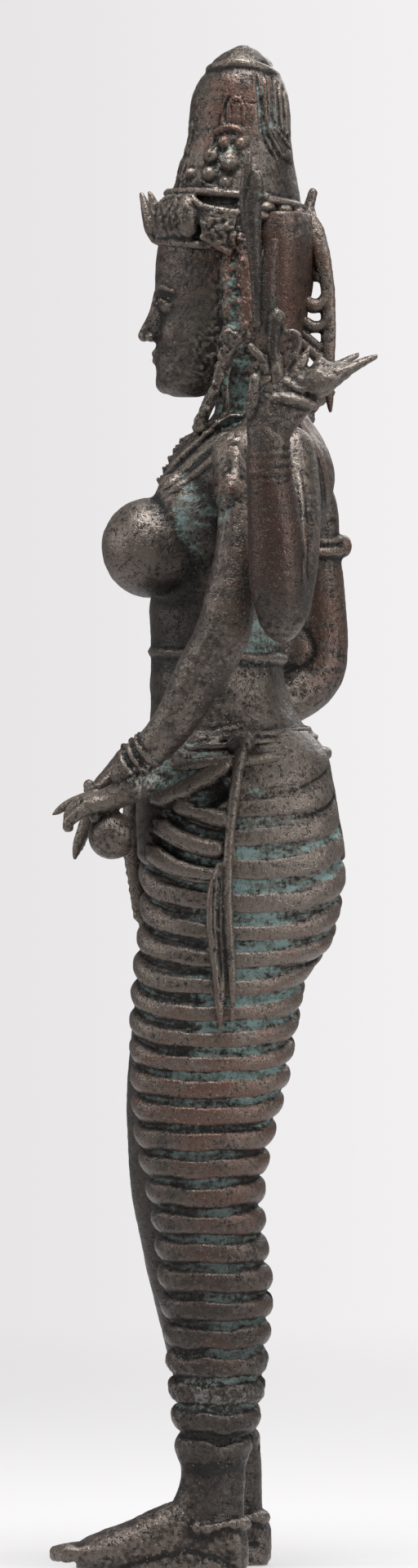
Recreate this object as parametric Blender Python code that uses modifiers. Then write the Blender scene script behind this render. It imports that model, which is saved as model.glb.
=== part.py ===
# A standing four-armed goddess in bronze, cast in one piece with her crown, jewels and what she holds.
# Metres, +Z up. She faces -Y, her own left side is +X, and her soles stand on z = 0.

import math

import bmesh
import bpy
from mathutils import Vector

STATUE_HEIGHT = 0.746  # from the soles to the top of the crown
MM = STATUE_HEIGHT / 746.0  # the sizes below are millimetres on a figure 746 mm tall

FOLD_PITCH = 13.9  # from one roll of the skirt to the next
FOLD_DEPTH = 4.6  # how far a roll stands out from the groove beside it
ROLL_GRAIN = 1.4  # spacing of the rows that draw a roll
FOLD_START = 283.6  # height of the first roll below the buttocks
FOLD_SAG_HIP = 22.0  # how far a roll sags at the side of the hip
FOLD_SAG_LEG = 4.0  # and at the side of the leg
HEM_HEIGHT = 56.0
NAVEL_HEIGHT = 452.0
SHOULDER_HEIGHT = 548.0
BREAST_RADIUS = 24.5
CHIN_HEIGHT = 573.6
MOUTH_HEIGHT = 593.6
NOSE_HEIGHT = 602.0
EYE_HEIGHT = 618.0
BROW_HEIGHT = 625.0
HEAD_HALF_WIDTH = 30.4
ARM_RADIUS = 10.5
WRIST_RADIUS = 8.4
BALL_RADIUS = 12.0
FINGER_RADIUS = 3.0
FAR_BUD_STRETCH = 0.82  # the bud in her right hand is shorter
VOXEL = 1.15  # grain at which the pieces of the wax model are melted into one skin
HIP_SWAY = 5.5  # how far the hips are thrust to her left
SWAY_TOP = 560.0
FACE_BUDGET = 9850

NAME = "parvati_statue"
BRONZE = (0.085, 0.062, 0.048, 1.0)


def clear_scene():
    for thing in list(bpy.data.objects):
        bpy.data.objects.remove(thing, do_unlink=True)


def smooth_step(low, high, value):
    share = min(1.0, max(0.0, (value - low) / (high - low)))
    return share * share * (3.0 - 2.0 * share)


def between(rows, spacing):
    """Extra rows on a smooth curve through the given ones (Catmull-Rom), about one for each spacing."""
    filled = []
    last = len(rows) - 1
    for index in range(last):
        before = rows[max(index - 1, 0)]
        here = rows[index]
        there = rows[index + 1]
        after = rows[min(index + 2, last)]
        steps = max(1, math.ceil(abs(there[0] - here[0]) / spacing))
        for step in range(steps):
            t = step / steps
            filled.append(tuple(
                0.5 * (2 * b + (c - a) * t + (2 * a - 5 * b + 4 * c - d) * t * t
                       + (3 * b - a - 3 * c + d) * t ** 3)
                for a, b, c, d in zip(before, here, there, after)
            ))
    filled.append(tuple(rows[last]))
    return filled


class WaxModel:
    """The pieces of the wax, kept in one mesh until they are melted together."""

    def __init__(self):
        self.mesh = bmesh.new()

    def take(self, thing):
        """Adds an object's evaluated mesh and removes the object."""
        graph = bpy.context.evaluated_depsgraph_get()
        graph.update()
        mesh = bpy.data.meshes.new_from_object(thing.evaluated_get(graph))
        mesh.transform(thing.matrix_world)
        self.mesh.from_mesh(mesh)
        bpy.data.objects.remove(thing, do_unlink=True)
        bpy.data.meshes.remove(mesh)

    def ball(self, centre, half, turn=(0.0, 0.0, 0.0), sides=20):
        """An ellipsoid of the given half sizes, turned by degrees about x, y and z."""
        bpy.ops.mesh.primitive_uv_sphere_add(segments=sides, ring_count=sides * 2 // 3)
        thing = bpy.context.object
        thing.scale = [size * MM for size in half]
        thing.rotation_euler = [math.radians(angle) for angle in turn]
        thing.location = Vector(centre) * MM
        bpy.context.view_layer.update()
        self.take(thing)

    def hoop(self, centre, radius, thickness, along, stretch=1.0):
        """A ring of round wire whose axis is the direction along."""
        bpy.ops.mesh.primitive_torus_add(
            major_radius=radius * MM, minor_radius=thickness * MM, major_segments=28, minor_segments=8)
        thing = bpy.context.object
        thing.rotation_euler = Vector(along).to_track_quat("Z", "Y").to_euler()
        thing.location = Vector(centre) * MM
        thing.scale = (1.0, stretch, 1.0)
        bpy.context.view_layer.update()
        self.take(thing)

    def limb(self, stations, sides=4):
        """A round tapering limb through stations of x, y, z and radius, with rounded ends."""
        data = bpy.data.curves.new("limb", "CURVE")
        data.dimensions = "3D"
        data.bevel_depth = MM
        data.bevel_resolution = sides
        data.resolution_u = 5
        data.use_fill_caps = True
        spline = data.splines.new("BEZIER")
        spline.bezier_points.add(len(stations) - 1)
        for point, (x, y, z, radius) in zip(spline.bezier_points, stations):
            point.co = Vector((x, y, z)) * MM
            point.radius = radius
            point.handle_left_type = "AUTO"
            point.handle_right_type = "AUTO"
        thing = bpy.data.objects.new("limb", data)
        bpy.context.scene.collection.objects.link(thing)
        self.take(thing)
        bpy.data.curves.remove(data)
        for x, y, z, radius in (stations[0], stations[-1]):
            self.ball((x, y, z), (radius, radius, radius), sides=12)

    def loft(self, rows, spacing=3.0, sides=40, level="Z", bulge=None):
        """
        A body through oval sections. A row is its place along the level axis, its front and back
        (or bottom and top where level is Y), its half width and its middle in x.
        """
        rings = []
        for place, low, high, half, middle in between(rows, spacing):
            ring = []
            for side in range(sides):
                angle = 2.0 * math.pi * side / sides
                out = 1.0 if bulge is None else bulge(place, angle, 0.5 * (high - low))
                x = middle + half * math.sin(angle) * out
                depth = 0.5 * (low + high) - 0.5 * (high - low) * math.cos(angle) * out
                spot = (x, depth, place) if level == "Z" else (x, place, depth)
                ring.append(self.mesh.verts.new(Vector(spot) * MM))
            rings.append(ring)
        faces = [tuple(rings[0]), tuple(reversed(rings[-1]))]
        for lower, upper in zip(rings, rings[1:]):
            for side in range(sides):
                after = (side + 1) % sides
                faces.append((lower[side], upper[side], upper[after], lower[after]))
        made = [self.mesh.faces.new(face) for face in faces]
        bmesh.ops.recalc_face_normals(self.mesh, faces=made)


def fold_bulge(outer_side, front_fade):
    """
    The rolls of the skirt as a share of the section's size. They wrap the outer side of a leg, sag there,
    and fade into the smooth cloth between the legs.
    """
    def bulge(height, angle, half_depth):
        turn = math.degrees(math.atan2(math.sin(angle) * outer_side, math.cos(angle)))
        outward = max(0.0, math.sin(math.radians(turn)))
        sag = FOLD_SAG_LEG + (FOLD_SAG_HIP - FOLD_SAG_LEG) * smooth_step(225.0, 350.0, height)
        phase = ((height + sag * outward - FOLD_START) / FOLD_PITCH + 0.5) % 1.0
        roll = math.sqrt(max(0.0, 1.0 - (2.0 * phase - 1.0) ** 2))
        shown = smooth_step(-front_fade[1], -front_fade[0], turn) if turn > -90.0 else 0.0
        if turn < -90.0 or turn > 150.0:
            past = (turn + 360.0) if turn < 0.0 else turn
            shown = 1.0 - smooth_step(185.0, 215.0, past)
        shown *= smooth_step(HEM_HEIGHT - 2.0, HEM_HEIGHT + 4.0, height)
        shown *= 1.0 - smooth_step(378.0, 396.0, height)
        return 1.0 - (FOLD_DEPTH / half_depth) * (1.0 - roll) * shown
    return bulge


def add_near_leg(wax):
    """The straight leg that carries her weight, with its half of the hips."""
    rows = [
        (410.0, -30.0, 48.0, 19.0, 19.0),
        (400.0, -35.0, 56.0, 26.0, 22.0),
        (386.0, -37.0, 59.0, 29.0, 24.5),
        (368.0, -38.0, 62.0, 31.0, 25.5),
        (350.0, -39.0, 65.0, 31.5, 26.0),
        (337.0, -37.6, 65.0, 31.5, 26.0),
        (322.0, -36.2, 63.0, 31.0, 26.0),
        (304.0, -38.0, 58.0, 30.0, 26.5),
        (292.0, -38.8, 49.5, 29.5, 27.0),
        (270.0, -40.6, 43.0, 28.5, 28.0),
        (240.0, -40.4, 37.2, 27.0, 28.5),
        (212.0, -38.0, 30.4, 25.0, 28.5),
        (186.0, -32.6, 26.0, 22.5, 28.0),
        (165.0, -28.8, 27.0, 21.5, 27.0),
        (140.0, -26.6, 29.8, 21.0, 26.0),
        (115.0, -24.0, 28.6, 19.5, 25.0),
        (90.0, -21.8, 26.0, 17.8, 24.0),
        (66.0, -19.2, 21.4, 15.5, 23.5),
        (HEM_HEIGHT, -17.6, 18.0, 14.0, 23.5),
        (HEM_HEIGHT - 3.0, -16.0, 16.8, 12.6, 23.5),
        (42.0, -16.2, 16.0, 12.0, 23.5),
        (34.0, -19.5, 15.4, 12.4, 23.5),
        (20.0, -26.0, 16.0, 12.8, 23.5),
    ]
    wax.loft(rows, spacing=ROLL_GRAIN, sides=64, bulge=fold_bulge(1.0, (12.0, 40.0)))


def add_far_leg(wax):
    """The other leg: its knee is bent a little forward, and its shin is smooth at the front."""
    rows = [
        (410.0, -30.0, 48.0, 19.0, -19.0),
        (400.0, -35.0, 56.0, 26.0, -22.0),
        (386.0, -37.0, 59.0, 29.0, -24.5),
        (368.0, -38.0, 62.0, 31.0, -25.5),
        (350.0, -39.0, 64.0, 31.0, -26.0),
        (337.0, -38.5, 64.0, 31.0, -26.0),
        (322.0, -38.0, 61.0, 30.5, -26.5),
        (304.0, -39.0, 53.0, 29.5, -27.5),
        (280.0, -40.0, 43.0, 28.5, -29.5),
        (255.0, -40.8, 36.0, 27.5, -31.5),
        (234.0, -41.4, 30.0, 26.0, -33.0),
        (202.0, -40.8, 22.0, 23.5, -34.5),
        (182.0, -39.2, 18.5, 22.0, -35.0),
        (161.0, -35.0, 19.5, 21.0, -34.5),
        (141.0, -30.8, 22.0, 20.5, -34.0),
        (120.0, -26.0, 25.0, 19.5, -33.5),
        (96.0, -20.4, 25.0, 17.8, -33.0),
        (72.0, -12.0, 24.0, 15.4, -33.0),
        (HEM_HEIGHT, -4.5, 23.8, 13.6, -33.0),
        (HEM_HEIGHT - 3.0, -1.5, 24.0, 12.4, -33.0),
        (42.0, -1.0, 24.4, 12.0, -33.0),
        (33.0, -4.0, 24.6, 12.2, -33.0),
        (20.0, -10.0, 25.0, 12.6, -33.0),
    ]
    wax.loft(rows, spacing=ROLL_GRAIN, sides=64, bulge=fold_bulge(-1.0, (-44.0, -18.0)))


def add_foot(wax, heel_y, middle, toe_out):
    """A long flat foot. It points forward and turns outward by toe_out for each millimetre forward."""
    def at(back):
        return middle - toe_out * (back - heel_y)

    wax.loft([
        (heel_y, 2.5, 17.0, 6.0, at(heel_y)),
        (heel_y - 2.5, -1.0, 24.0, 10.5, at(heel_y - 2.5)),
        (heel_y - 9.0, -1.0, 34.0, 12.5, at(heel_y - 9.0)),
        (heel_y - 30.0, -1.0, 36.0, 13.0, at(heel_y - 30.0)),
        (heel_y - 38.0, -1.0, 33.8, 14.0, at(heel_y - 38.0)),
        (heel_y - 47.0, -1.0, 30.0, 14.8, at(heel_y - 47.0)),
        (heel_y - 57.0, -1.0, 26.0, 15.6, at(heel_y - 57.0)),
        (heel_y - 72.0, -1.0, 20.6, 16.6, at(heel_y - 72.0)),
        (heel_y - 83.0, 0.2, 16.2, 16.2, at(heel_y - 83.0)),
        (heel_y - 87.0, 2.0, 12.0, 14.0, at(heel_y - 87.0)),
    ], sides=32, level="Y")
    wax.loft([
        (-1.0, heel_y - 72.0, heel_y - 2.0, 12.5, at(heel_y - 36.0)),
        (1.0, heel_y - 76.0, heel_y - 1.0, 13.5, at(heel_y - 36.0)),
        (4.0, heel_y - 78.0, heel_y - 1.0, 14.0, at(heel_y - 36.0)),
        (9.0, heel_y - 74.0, heel_y - 2.0, 12.5, at(heel_y - 36.0)),
    ], sides=32)
    outward = 1.0 if middle > 0.0 else -1.0
    for index in range(5):
        spread = (index - 2.0) * 6.6
        length = 98.2 - 0.9 * index - 0.45 * index * index
        thick = 4.2 - 0.35 * index
        tip = heel_y - length
        wax.limb([
            (at(heel_y - 62.0) + outward * spread * 0.86, heel_y - 62.0, 12.4, thick + 1.4),
            (at(heel_y - 82.0) + outward * spread, heel_y - 82.0, 10.2, thick + 0.2),
            (at(tip) + outward * spread * 1.02, tip + thick, 7.4, thick - 0.4),
        ], sides=3)
    ankle = (at(heel_y - 15.0), heel_y - 16.0)
    for height, radius in ((25.0, 15.0), (20.5, 15.8)):
        wax.hoop((ankle[0], ankle[1] + 0.6, height), radius, 2.3, (0.0, -0.12, 1.0))


def add_torso(wax):
    """The slender waist, the chest and the shoulders, drawn back above the hips."""
    wax.loft([
        (380.0, -34.0, 52.0, 34.0, 0.0),
        (400.0, -34.0, 55.0, 42.0, 0.0),
        (413.0, -31.5, 46.0, 37.0, 0.0),
        (430.0, -31.0, 36.5, 32.0, 0.0),
        (NAVEL_HEIGHT, -31.0, 36.0, 30.5, 0.0),
        (472.0, -31.5, 45.0, 33.5, 0.0),
        (490.0, -28.0, 48.6, 38.5, 0.0),
        (507.0, -25.0, 53.0, 43.0, 0.0),
        (522.0, -26.0, 58.0, 48.0, 0.0),
        (536.0, -23.0, 60.0, 52.0, 0.0),
        (SHOULDER_HEIGHT, -13.5, 57.5, 50.0, 0.0),
        (558.0, -6.0, 52.0, 38.0, 0.0),
        (566.0, 1.0, 45.0, 24.0, 0.0),
        (574.0, 0.5, 36.0, 17.0, 0.0),
        (588.0, -1.0, 35.0, 16.5, 0.0),
        (606.0, -6.0, 36.0, 17.0, 0.0),
    ], sides=44)
    for side in (1.0, -1.0):
        wax.ball((side * 23.5, -29.8, 499.5), (BREAST_RADIUS, BREAST_RADIUS - 0.5, BREAST_RADIUS + 0.5))
        wax.ball((side * 25.0, -9.0, 513.0), (21.0, 17.0, 25.0), (32.0, 0.0, 0.0))
        wax.ball((side * 53.0, 22.0, 543.0), (17.0, 21.0, 16.0))
        wax.limb([(side * 12.0, 30.0, 580.0, 9.0), (side * 30.0, 26.0, 562.0, 10.0),
                  (side * 48.0, 22.0, 550.0, 12.0)])
    wax.ball((0.0, -15.0, 432.0), (25.0, 17.0, 20.0))
    wax.hoop((0.0, 2.0, 447.0), 31.6, 1.8, (0.0, 0.06, 1.0), 1.07)


def hip_spot(turn, height, out):
    """A point on the hips near the girdle: turn is 0 at the front, 90 at her left, 180 behind."""
    angle = math.radians(turn)
    half = 40.5 + 0.62 * (412.0 - height)
    front = -32.0 - 0.3 * (412.0 - height)
    back = 46.0 + 0.7 * (412.0 - height)
    return (
        (half + out) * math.sin(angle),
        0.5 * (front + back) - (0.5 * (back - front) + out) * math.cos(angle),
        height,
    )


def add_skirt_top(wax):
    """The girdle: two thin cords and a flat band that rise towards the back, and thick rolls that cross the belly."""
    for front_height, back_height, out, thick in ((403.0, 411.0, 0.6, 1.5), (399.0, 407.0, 1.0, 1.6),
                                                  (391.0, 399.0, 0.0, 3.6)):
        stations = []
        for step in range(37):
            turn = 10.0 * step
            share = 0.5 - 0.5 * math.cos(math.radians(turn))
            stations.append((*hip_spot(turn, front_height + (back_height - front_height) * share, out), thick))
        wax.limb(stations, sides=2)
    for side in (1.0, -1.0):
        for drop in (0.0, 9.5):
            wax.limb([
                (side * 47.0, 12.0, 401.0 - 0.4 * drop, 4.0), (side * 47.5, -4.0, 395.0 - drop, 4.4),
                (side * 41.0, -22.0, 385.0 - drop, 4.6), (side * 26.0, -35.0, 376.0 - drop, 4.4),
                (side * 6.0, -38.0, 371.0 - drop, 3.8),
            ], sides=3)
    wax.ball((0.0, 6.0, 366.0), (26.0, 44.0, 26.0))
    wax.limb([(0.0, -37.0, 388.0, 6.0), (0.0, -39.5, 360.0, 4.2), (0.0, -36.6, 333.0, 3.6),
              (0.0, -33.0, 316.0, 3.2), (0.0, -30.0, 290.0, 2.8), (0.0, -26.0, 250.0, 3.4)])
    for index in range(9):
        wax.ball((0.0, -42.6 + 0.66 * index, 353.0 - 4.2 * index), (3.6, 1.9, 1.9), sides=10)


def add_side_sash(wax, side):
    """A strap that hangs from a knot at the hip and opens into a pointed cloth end."""
    wax.ball((side * 47.5, 14.0, 404.0), (6.0, 7.0, 7.0))
    wax.limb([(side * 50.0, 14.6, 402.0, 3.6), (side * 55.5, 12.0, 388.0, 3.2), (side * 58.2, 9.6, 368.0, 3.0),
              (side * 59.0, 7.8, 344.0, 3.2)])
    wax.loft([
        (352.0, 5.0, 11.0, 3.0, side * 58.5),
        (338.0, 2.0, 11.0, 3.2, side * 58.6),
        (322.0, -1.5, 11.5, 3.0, side * 59.4),
        (304.0, -2.0, 11.0, 2.8, side * 59.4),
        (286.0, 0.0, 11.0, 2.4, side * 58.4),
        (268.0, 2.0, 9.0, 1.8, side * 56.8),
    ], sides=20)
    for y, z in ((-1.0, 336.0), (11.0, 330.0)):
        wax.limb([(side * 59.4, y, z, 1.8), (side * 61.8, y + 1.0, z - 22.0, 2.0),
                  (side * 60.6, y * 0.7 + 3.0, z - 46.0, 1.7), (side * 58.0, y * 0.4 + 4.0, z - 68.0, 1.2)], sides=2)


def add_front_arms(wax):
    """The lower pair of arms. The near one comes forward over a ball, the far elbow is drawn back."""
    near = [(55.0, 12.0, 543.0, 13.0), (63.0, 9.5, 527.0, ARM_RADIUS), (68.0, 10.0, 500.0, ARM_RADIUS),
            (73.0, 12.0, 474.0, 11.6), (75.0, 6.0, 455.0, 12.4), (70.0, -6.0, 432.0, 12.0),
            (62.0, -20.0, 411.0, 9.8), (54.0, -36.0, 395.0, WRIST_RADIUS)]
    far = [(-55.0, 32.0, 545.0, 13.0), (-64.0, 49.0, 529.0, ARM_RADIUS), (-70.0, 53.5, 500.0, ARM_RADIUS),
           (-76.0, 55.4, 474.0, 11.6), (-80.0, 55.2, 452.0, 12.6), (-80.0, 52.6, 440.0, 13.2), (-76.0, 43.0, 430.0, 12.2),
           (-66.0, 22.0, 421.0, 11.4), (-54.0, -10.0, 413.0, 9.4), (-44.0, -36.0, 402.0, 7.6)]
    for arm in (near, far):
        wax.limb(arm, sides=5)
    wax.hoop((63.5, 9.6, 526.0), ARM_RADIUS + 0.4, 2.6, (0.2, 0.0, -1.0))
    wax.hoop((64.6, 9.8, 519.0), ARM_RADIUS, 1.8, (0.2, 0.0, -1.0))
    wax.ball((74.5, 9.4, 527.4), (4.2, 5.0, 5.0))
    wax.hoop((-70.2, 54.0, 499.0), ARM_RADIUS + 1.4, 3.0, (-0.1, 0.04, -1.0))
    wax.ball((-74.0, 64.0, 501.4), (5.0, 6.0, 6.4))
    for step in range(3):
        forward = -31.0 - 4.0 * step
        wax.hoop((57.0 - 2.0 * step, forward, 400.4 - 3.9 * step), 9.2 - 0.3 * step, 1.5, (-0.34, -0.72, -0.6))
        wax.hoop((-47.0 + 1.6 * step, forward + 1.0, 404.6 - 2.4 * step), 8.4 - 0.2 * step, 1.5, (0.3, -0.8, -0.5))


def add_near_front_hand(wax):
    """Her lower left hand lies palm down over a ball, with the fingers stretched past it."""
    wax.limb([(54.0, -36.0, 395.0, WRIST_RADIUS), (51.0, -44.0, 388.0, 7.8), (47.0, -54.0, 380.6, 6.6),
              (45.0, -63.0, 375.4, 5.4)])
    wax.ball((47.5, -52.0, 381.0), (11.5, 15.0, 5.6), (32.0, 0.0, 0.0))
    wax.ball((46.0, -48.8, 358.6), (BALL_RADIUS, BALL_RADIUS, BALL_RADIUS))
    for inward, reach, drop in ((0.0, 79.4, 368.6), (1.0, 75.5, 365.6), (2.0, 72.6, 363.2), (3.0, 68.4, 364.6)):
        x = 39.0 + 5.2 * inward
        wax.limb([
            (x, -60.0, 379.0 - 1.3 * inward, FINGER_RADIUS + 0.5),
            (x - 0.4, -0.55 * reach - 29.0, 0.4 * drop + 226.6, FINGER_RADIUS),
            (x - 1.0, 1.7 - reach, drop, FINGER_RADIUS - 1.1),
        ], sides=3)
    wax.limb([(39.5, -46.0, 381.0, 4.0), (34.0, -53.0, 376.0, 3.2), (32.5, -60.0, 371.0, 2.4)], sides=3)


def add_far_front_hand(wax):
    """Her lower right hand is held out before the hip with the fingers pointing down."""
    wax.limb([(-44.0, -36.0, 402.0, 7.6), (-40.0, -45.0, 394.0, 6.6), (-36.0, -55.0, 385.0, 5.8)])
    wax.ball((-35.5, -54.0, 383.5), (10.0, 9.0, 5.6), (42.0, 0.0, 0.0))
    wax.ball((-31.0, -60.6, 383.8), (4.4, 4.4, 4.4))
    for inward in range(4):
        x = -28.6 - 4.6 * inward
        wax.limb([
            (x, -58.4, 381.0, FINGER_RADIUS + 0.4),
            (x + 0.2, -62.6, 369.5, FINGER_RADIUS),
            (x + 0.4, -65.6 + 0.5 * inward, 358.6 + 0.8 * inward, FINGER_RADIUS - 0.4),
            (x + 0.8, -67.4 + 1.2 * inward, 348.6 + 2.0 * inward, FINGER_RADIUS - 1.3),
        ], sides=3)
    wax.limb([(-28.0, -50.0, 388.0, 3.6), (-23.0, -55.0, 383.0, 3.0), (-21.0, -60.0, 377.0, 2.3)], sides=3)


def add_rear_arm(wax, side):
    """An upper arm that leaves the shoulder behind, bends sharply, and lifts a hand beside the crown."""
    wax.limb([(side * 50.0, 38.0, 545.0, 13.0), (side * 63.0, 41.0, 522.0, 11.6), (side * 78.0, 40.0, 494.0, 11.6),
              (side * 93.0, 35.5, 470.0, 12.6)], sides=5)
    wax.limb([(side * 96.0, 34.0, 468.0, 13.4), (side * 101.0, 32.4, 480.0, 14.2), (side * 103.5, 30.8, 500.0, 13.4),
              (side * 105.0, 28.8, 520.0, 12.2), (side * 106.0, 27.0, 540.0, 10.6),
              (side * 106.5, 27.4, 552.0, 10.0)], sides=5)
    for step in range(4):
        wax.hoop((side * 105.8, 27.4, 534.0 + 4.4 * step), 10.9 - 0.2 * step, 1.3, (0.02 * side, -0.06, 1.0))
    wax.hoop((side * 62.0, 41.0, 523.0), 12.4, 2.6, (side * 0.46, 0.0, -1.0))


def add_rear_hand(wax, side):
    """The hand bends back under an opening bud, and one raised finger holds the goad before it."""
    x = side * 107.0
    wax.loft([
        (544.0, 17.4, 36.6, 9.4, x), (551.0, 16.6, 39.6, 9.0, x), (558.0, 16.4, 44.6, 8.6, x),
        (565.0, 16.8, 50.4, 8.0, x), (571.0, 18.0, 53.0, 7.0, x), (577.0, 20.0, 50.0, 5.4, x),
        (580.0, 24.0, 44.0, 3.6, x),
    ], sides=28)
    wax.limb([(x - side, 20.6, 560.0, 4.0), (x - side * 2.0, 18.6, 570.0, 3.8), (x - side * 3.0, 18.4, 578.0, 3.2)])
    wax.limb([(x + side * 2.0, 31.0, 572.0, 4.0), (x + side, 30.8, 586.0, 3.4), (x, 30.0, 598.0, 2.9),
              (x, 31.4, 608.4, 3.1)])
    wax.limb([(x, 28.0, 580.0, 2.6), (x - side, 22.0, 587.0, 2.6), (x - side, 19.8, 594.0, 2.5)])
    for reach, lift, sideways in ((54.4, 569.0, 4.0), (57.0, 571.0, 0.0), (55.0, 574.0, -4.0)):
        wax.limb([(x + sideways, 38.0, lift - 4.0, 4.6), (x + sideways, reach - 6.0, lift - 1.0, 4.0),
                  (x + sideways * 0.8, reach - 1.0, lift + 2.0, 3.0)], sides=3)
    wax.limb([(x, 38.6, 577.0, 4.0), (x, 43.0, 586.0, 3.0), (x, 46.6, 593.6, 1.3)])
    stretch = 1.0 if side > 0.0 else FAR_BUD_STRETCH
    wax.loft([
        (42.0 + (reach - 42.0) * stretch, low + lift, high + lift, wide, x)
        for reach, low, high, wide, lift in (
            (42.0, 573.0, 581.0, 4.0, 0.0), (49.0, 571.0, 586.4, 6.6, 0.0), (56.0, 572.0, 587.0, 8.4, 0.0),
            (61.0, 576.4, 587.6, 8.0, 4.0 - 4.0 * side), (67.0, 581.4, 588.6, 6.0, 4.0 - 4.0 * side),
            (74.0, 585.4, 590.2, 3.8, 4.0 - 4.0 * side), (80.2, 588.8, 591.4, 1.4, 4.0 - 4.0 * side),
        )
    ], sides=20, level="Y")


def add_goad(wax, side):
    """What the raised finger holds: three leaf-shaped blades that rise one behind another."""
    x = side * 105.5
    wax.loft([
        (600.0, 23.0, 29.0, 3.0, x), (612.0, 22.4, 31.4, 3.6, x), (628.0, 22.6, 31.8, 3.6, x),
        (640.0, 24.6, 32.0, 3.2, x), (646.6, 28.0, 32.0, 2.2, x),
    ], sides=20)
    wax.loft([
        (604.0, 19.6, 24.0, 2.8, x), (630.0, 18.0, 24.0, 3.2, x), (650.0, 15.8, 23.6, 3.4, x),
        (664.0, 15.2, 24.0, 3.4, x), (673.0, 17.0, 25.0, 3.2, x), (679.4, 19.6, 23.2, 2.0, x),
    ], sides=20)
    wax.limb([(x, 21.0, 667.0, 3.0), (x, 25.6, 666.4, 2.2)], sides=3)
    wax.limb([(x - side, 16.6, 652.0, 2.6), (x - side, 15.8, 670.0, 2.9), (x - side, 16.8, 680.0, 2.6),
              (x - side, 17.6, 688.6, 1.6)], sides=3)


def add_head(wax):
    """A level head with a calm, even face by the usual thirds, and smooth hair drawn back under the crown."""
    wide = HEAD_HALF_WIDTH
    wax.loft([
        (height, front, back, wide * share, 0.0) for height, front, back, share in (
            (CHIN_HEIGHT, -19.0, -6.0, 0.3), (575.6, -23.4, 2.0, 0.46), (579.0, -26.0, 10.0, 0.61),
            (584.0, -27.2, 18.0, 0.72), (590.0, -27.6, 27.0, 0.81), (600.0, -27.6, 38.0, 0.9),
            (612.0, -27.0, 46.0, 0.96), (625.0, -28.0, 49.0, 0.99), (640.0, -27.6, 50.0, 1.0),
            (655.0, -24.6, 50.0, 0.99), (664.0, -20.0, 48.0, 0.95),
        )
    ], sides=40)
    wax.loft([
        (height, front, back, wide * share, 0.0) for height, front, back, share in (
            (601.0, 26.0, 44.6, 0.4), (606.0, 21.0, 45.4, 0.69), (614.0, 18.0, 46.4, 0.89),
            (626.0, 16.0, 48.2, 1.04), (642.0, 16.0, 49.8, 1.12), (656.0, 16.0, 49.8, 1.12),
            (663.0, 19.0, 48.6, 1.09),
        )
    ], sides=32)
    wax.limb([(0.0, -27.4, BROW_HEIGHT - 1.0, 2.0), (0.0, -29.6, BROW_HEIGHT - 9.0, 2.4),
              (0.0, -33.0, NOSE_HEIGHT + 3.0, 3.0)], sides=3)
    wax.limb([(-7.0, -26.4, MOUTH_HEIGHT + 0.4, 1.0), (0.0, -28.8, MOUTH_HEIGHT + 1.4, 1.6),
              (7.0, -26.4, MOUTH_HEIGHT + 0.4, 1.0)], sides=3)
    wax.limb([(-6.0, -26.4, MOUTH_HEIGHT - 1.6, 1.0), (0.0, -28.2, MOUTH_HEIGHT - 2.6, 1.8),
              (6.0, -26.4, MOUTH_HEIGHT - 1.6, 1.0)], sides=3)
    wax.ball((0.0, -23.0, CHIN_HEIGHT + 7.0), (7.6, 5.6, 5.6))
    for side in (1.0, -1.0):
        wax.ball((side * 3.2, -30.6, NOSE_HEIGHT + 0.4), (2.4, 3.0, 2.2), sides=12)
        wax.ball((side * 14.0, -15.6, NOSE_HEIGHT + 2.0), (11.0, 9.6, 13.0))
        wax.ball((side * 11.4, -23.8, EYE_HEIGHT), (6.8, 4.0, 3.0), (0.0, 0.0, side * 20.0), sides=14)
        wax.limb([(side * 3.2, -27.4, BROW_HEIGHT - 0.6, 1.0), (side * 10.6, -27.4, BROW_HEIGHT + 2.2, 1.2),
                  (side * 20.0, -21.6, BROW_HEIGHT - 0.6, 0.9)], sides=2)
        wax.ball((side * 29.6, 7.0, 612.0), (3.4, 4.6, 13.0), (0.0, side * -4.0, 0.0))
        wax.ball((side * 32.0, 6.4, 601.0), (5.6, 6.0, 5.6))
        wax.limb([(side * 32.0, 3.4, 594.0, 3.4), (side * 31.0, 0.6, 583.0, 3.2), (side * 30.0, -2.4, 573.0, 3.2),
                  (side * 28.4, -5.0, 564.0, 3.4), (side * 27.4, -6.6, 558.0, 4.2)], sides=3)
        wax.limb([(side * 32.0, 12.0, 650.0, 3.2), (side * 34.0, 14.6, 630.0, 3.4),
                  (side * 33.4, 11.0, 606.0, 4.0)], sides=3)


def crown_section(height):
    """Front, back and half width of the crown's bell-shaped body at a height."""
    rows = [
        (650.0, -26.0, 46.0, 32.0), (668.0, -22.0, 44.5, 31.0), (676.0, -19.2, 42.8, 29.0),
        (688.0, -15.6, 40.6, 26.5), (699.0, -12.4, 39.0, 24.8), (712.0, -11.0, 38.6, 23.8),
        (722.0, -9.4, 37.2, 22.6), (730.0, -6.4, 34.4, 20.6), (736.0, -2.0, 31.4, 17.6),
    ]
    for lower, upper in zip(rows, rows[1:]):
        if height <= upper[0]:
            share = max(0.0, (height - lower[0]) / (upper[0] - lower[0]))
            return [a + (b - a) * share for a, b in zip(lower[1:], upper[1:])]
    return list(rows[-1][1:])


def crown_spot(height, turn, out=0.0):
    """A point on the crown: turn is 0 at the front, 90 at her left, 180 behind."""
    front, back, half = crown_section(height)
    angle = math.radians(turn)
    return ((half + out) * math.sin(angle), 0.5 * (front + back) - (0.5 * (back - front) + out) * math.cos(angle))


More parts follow.
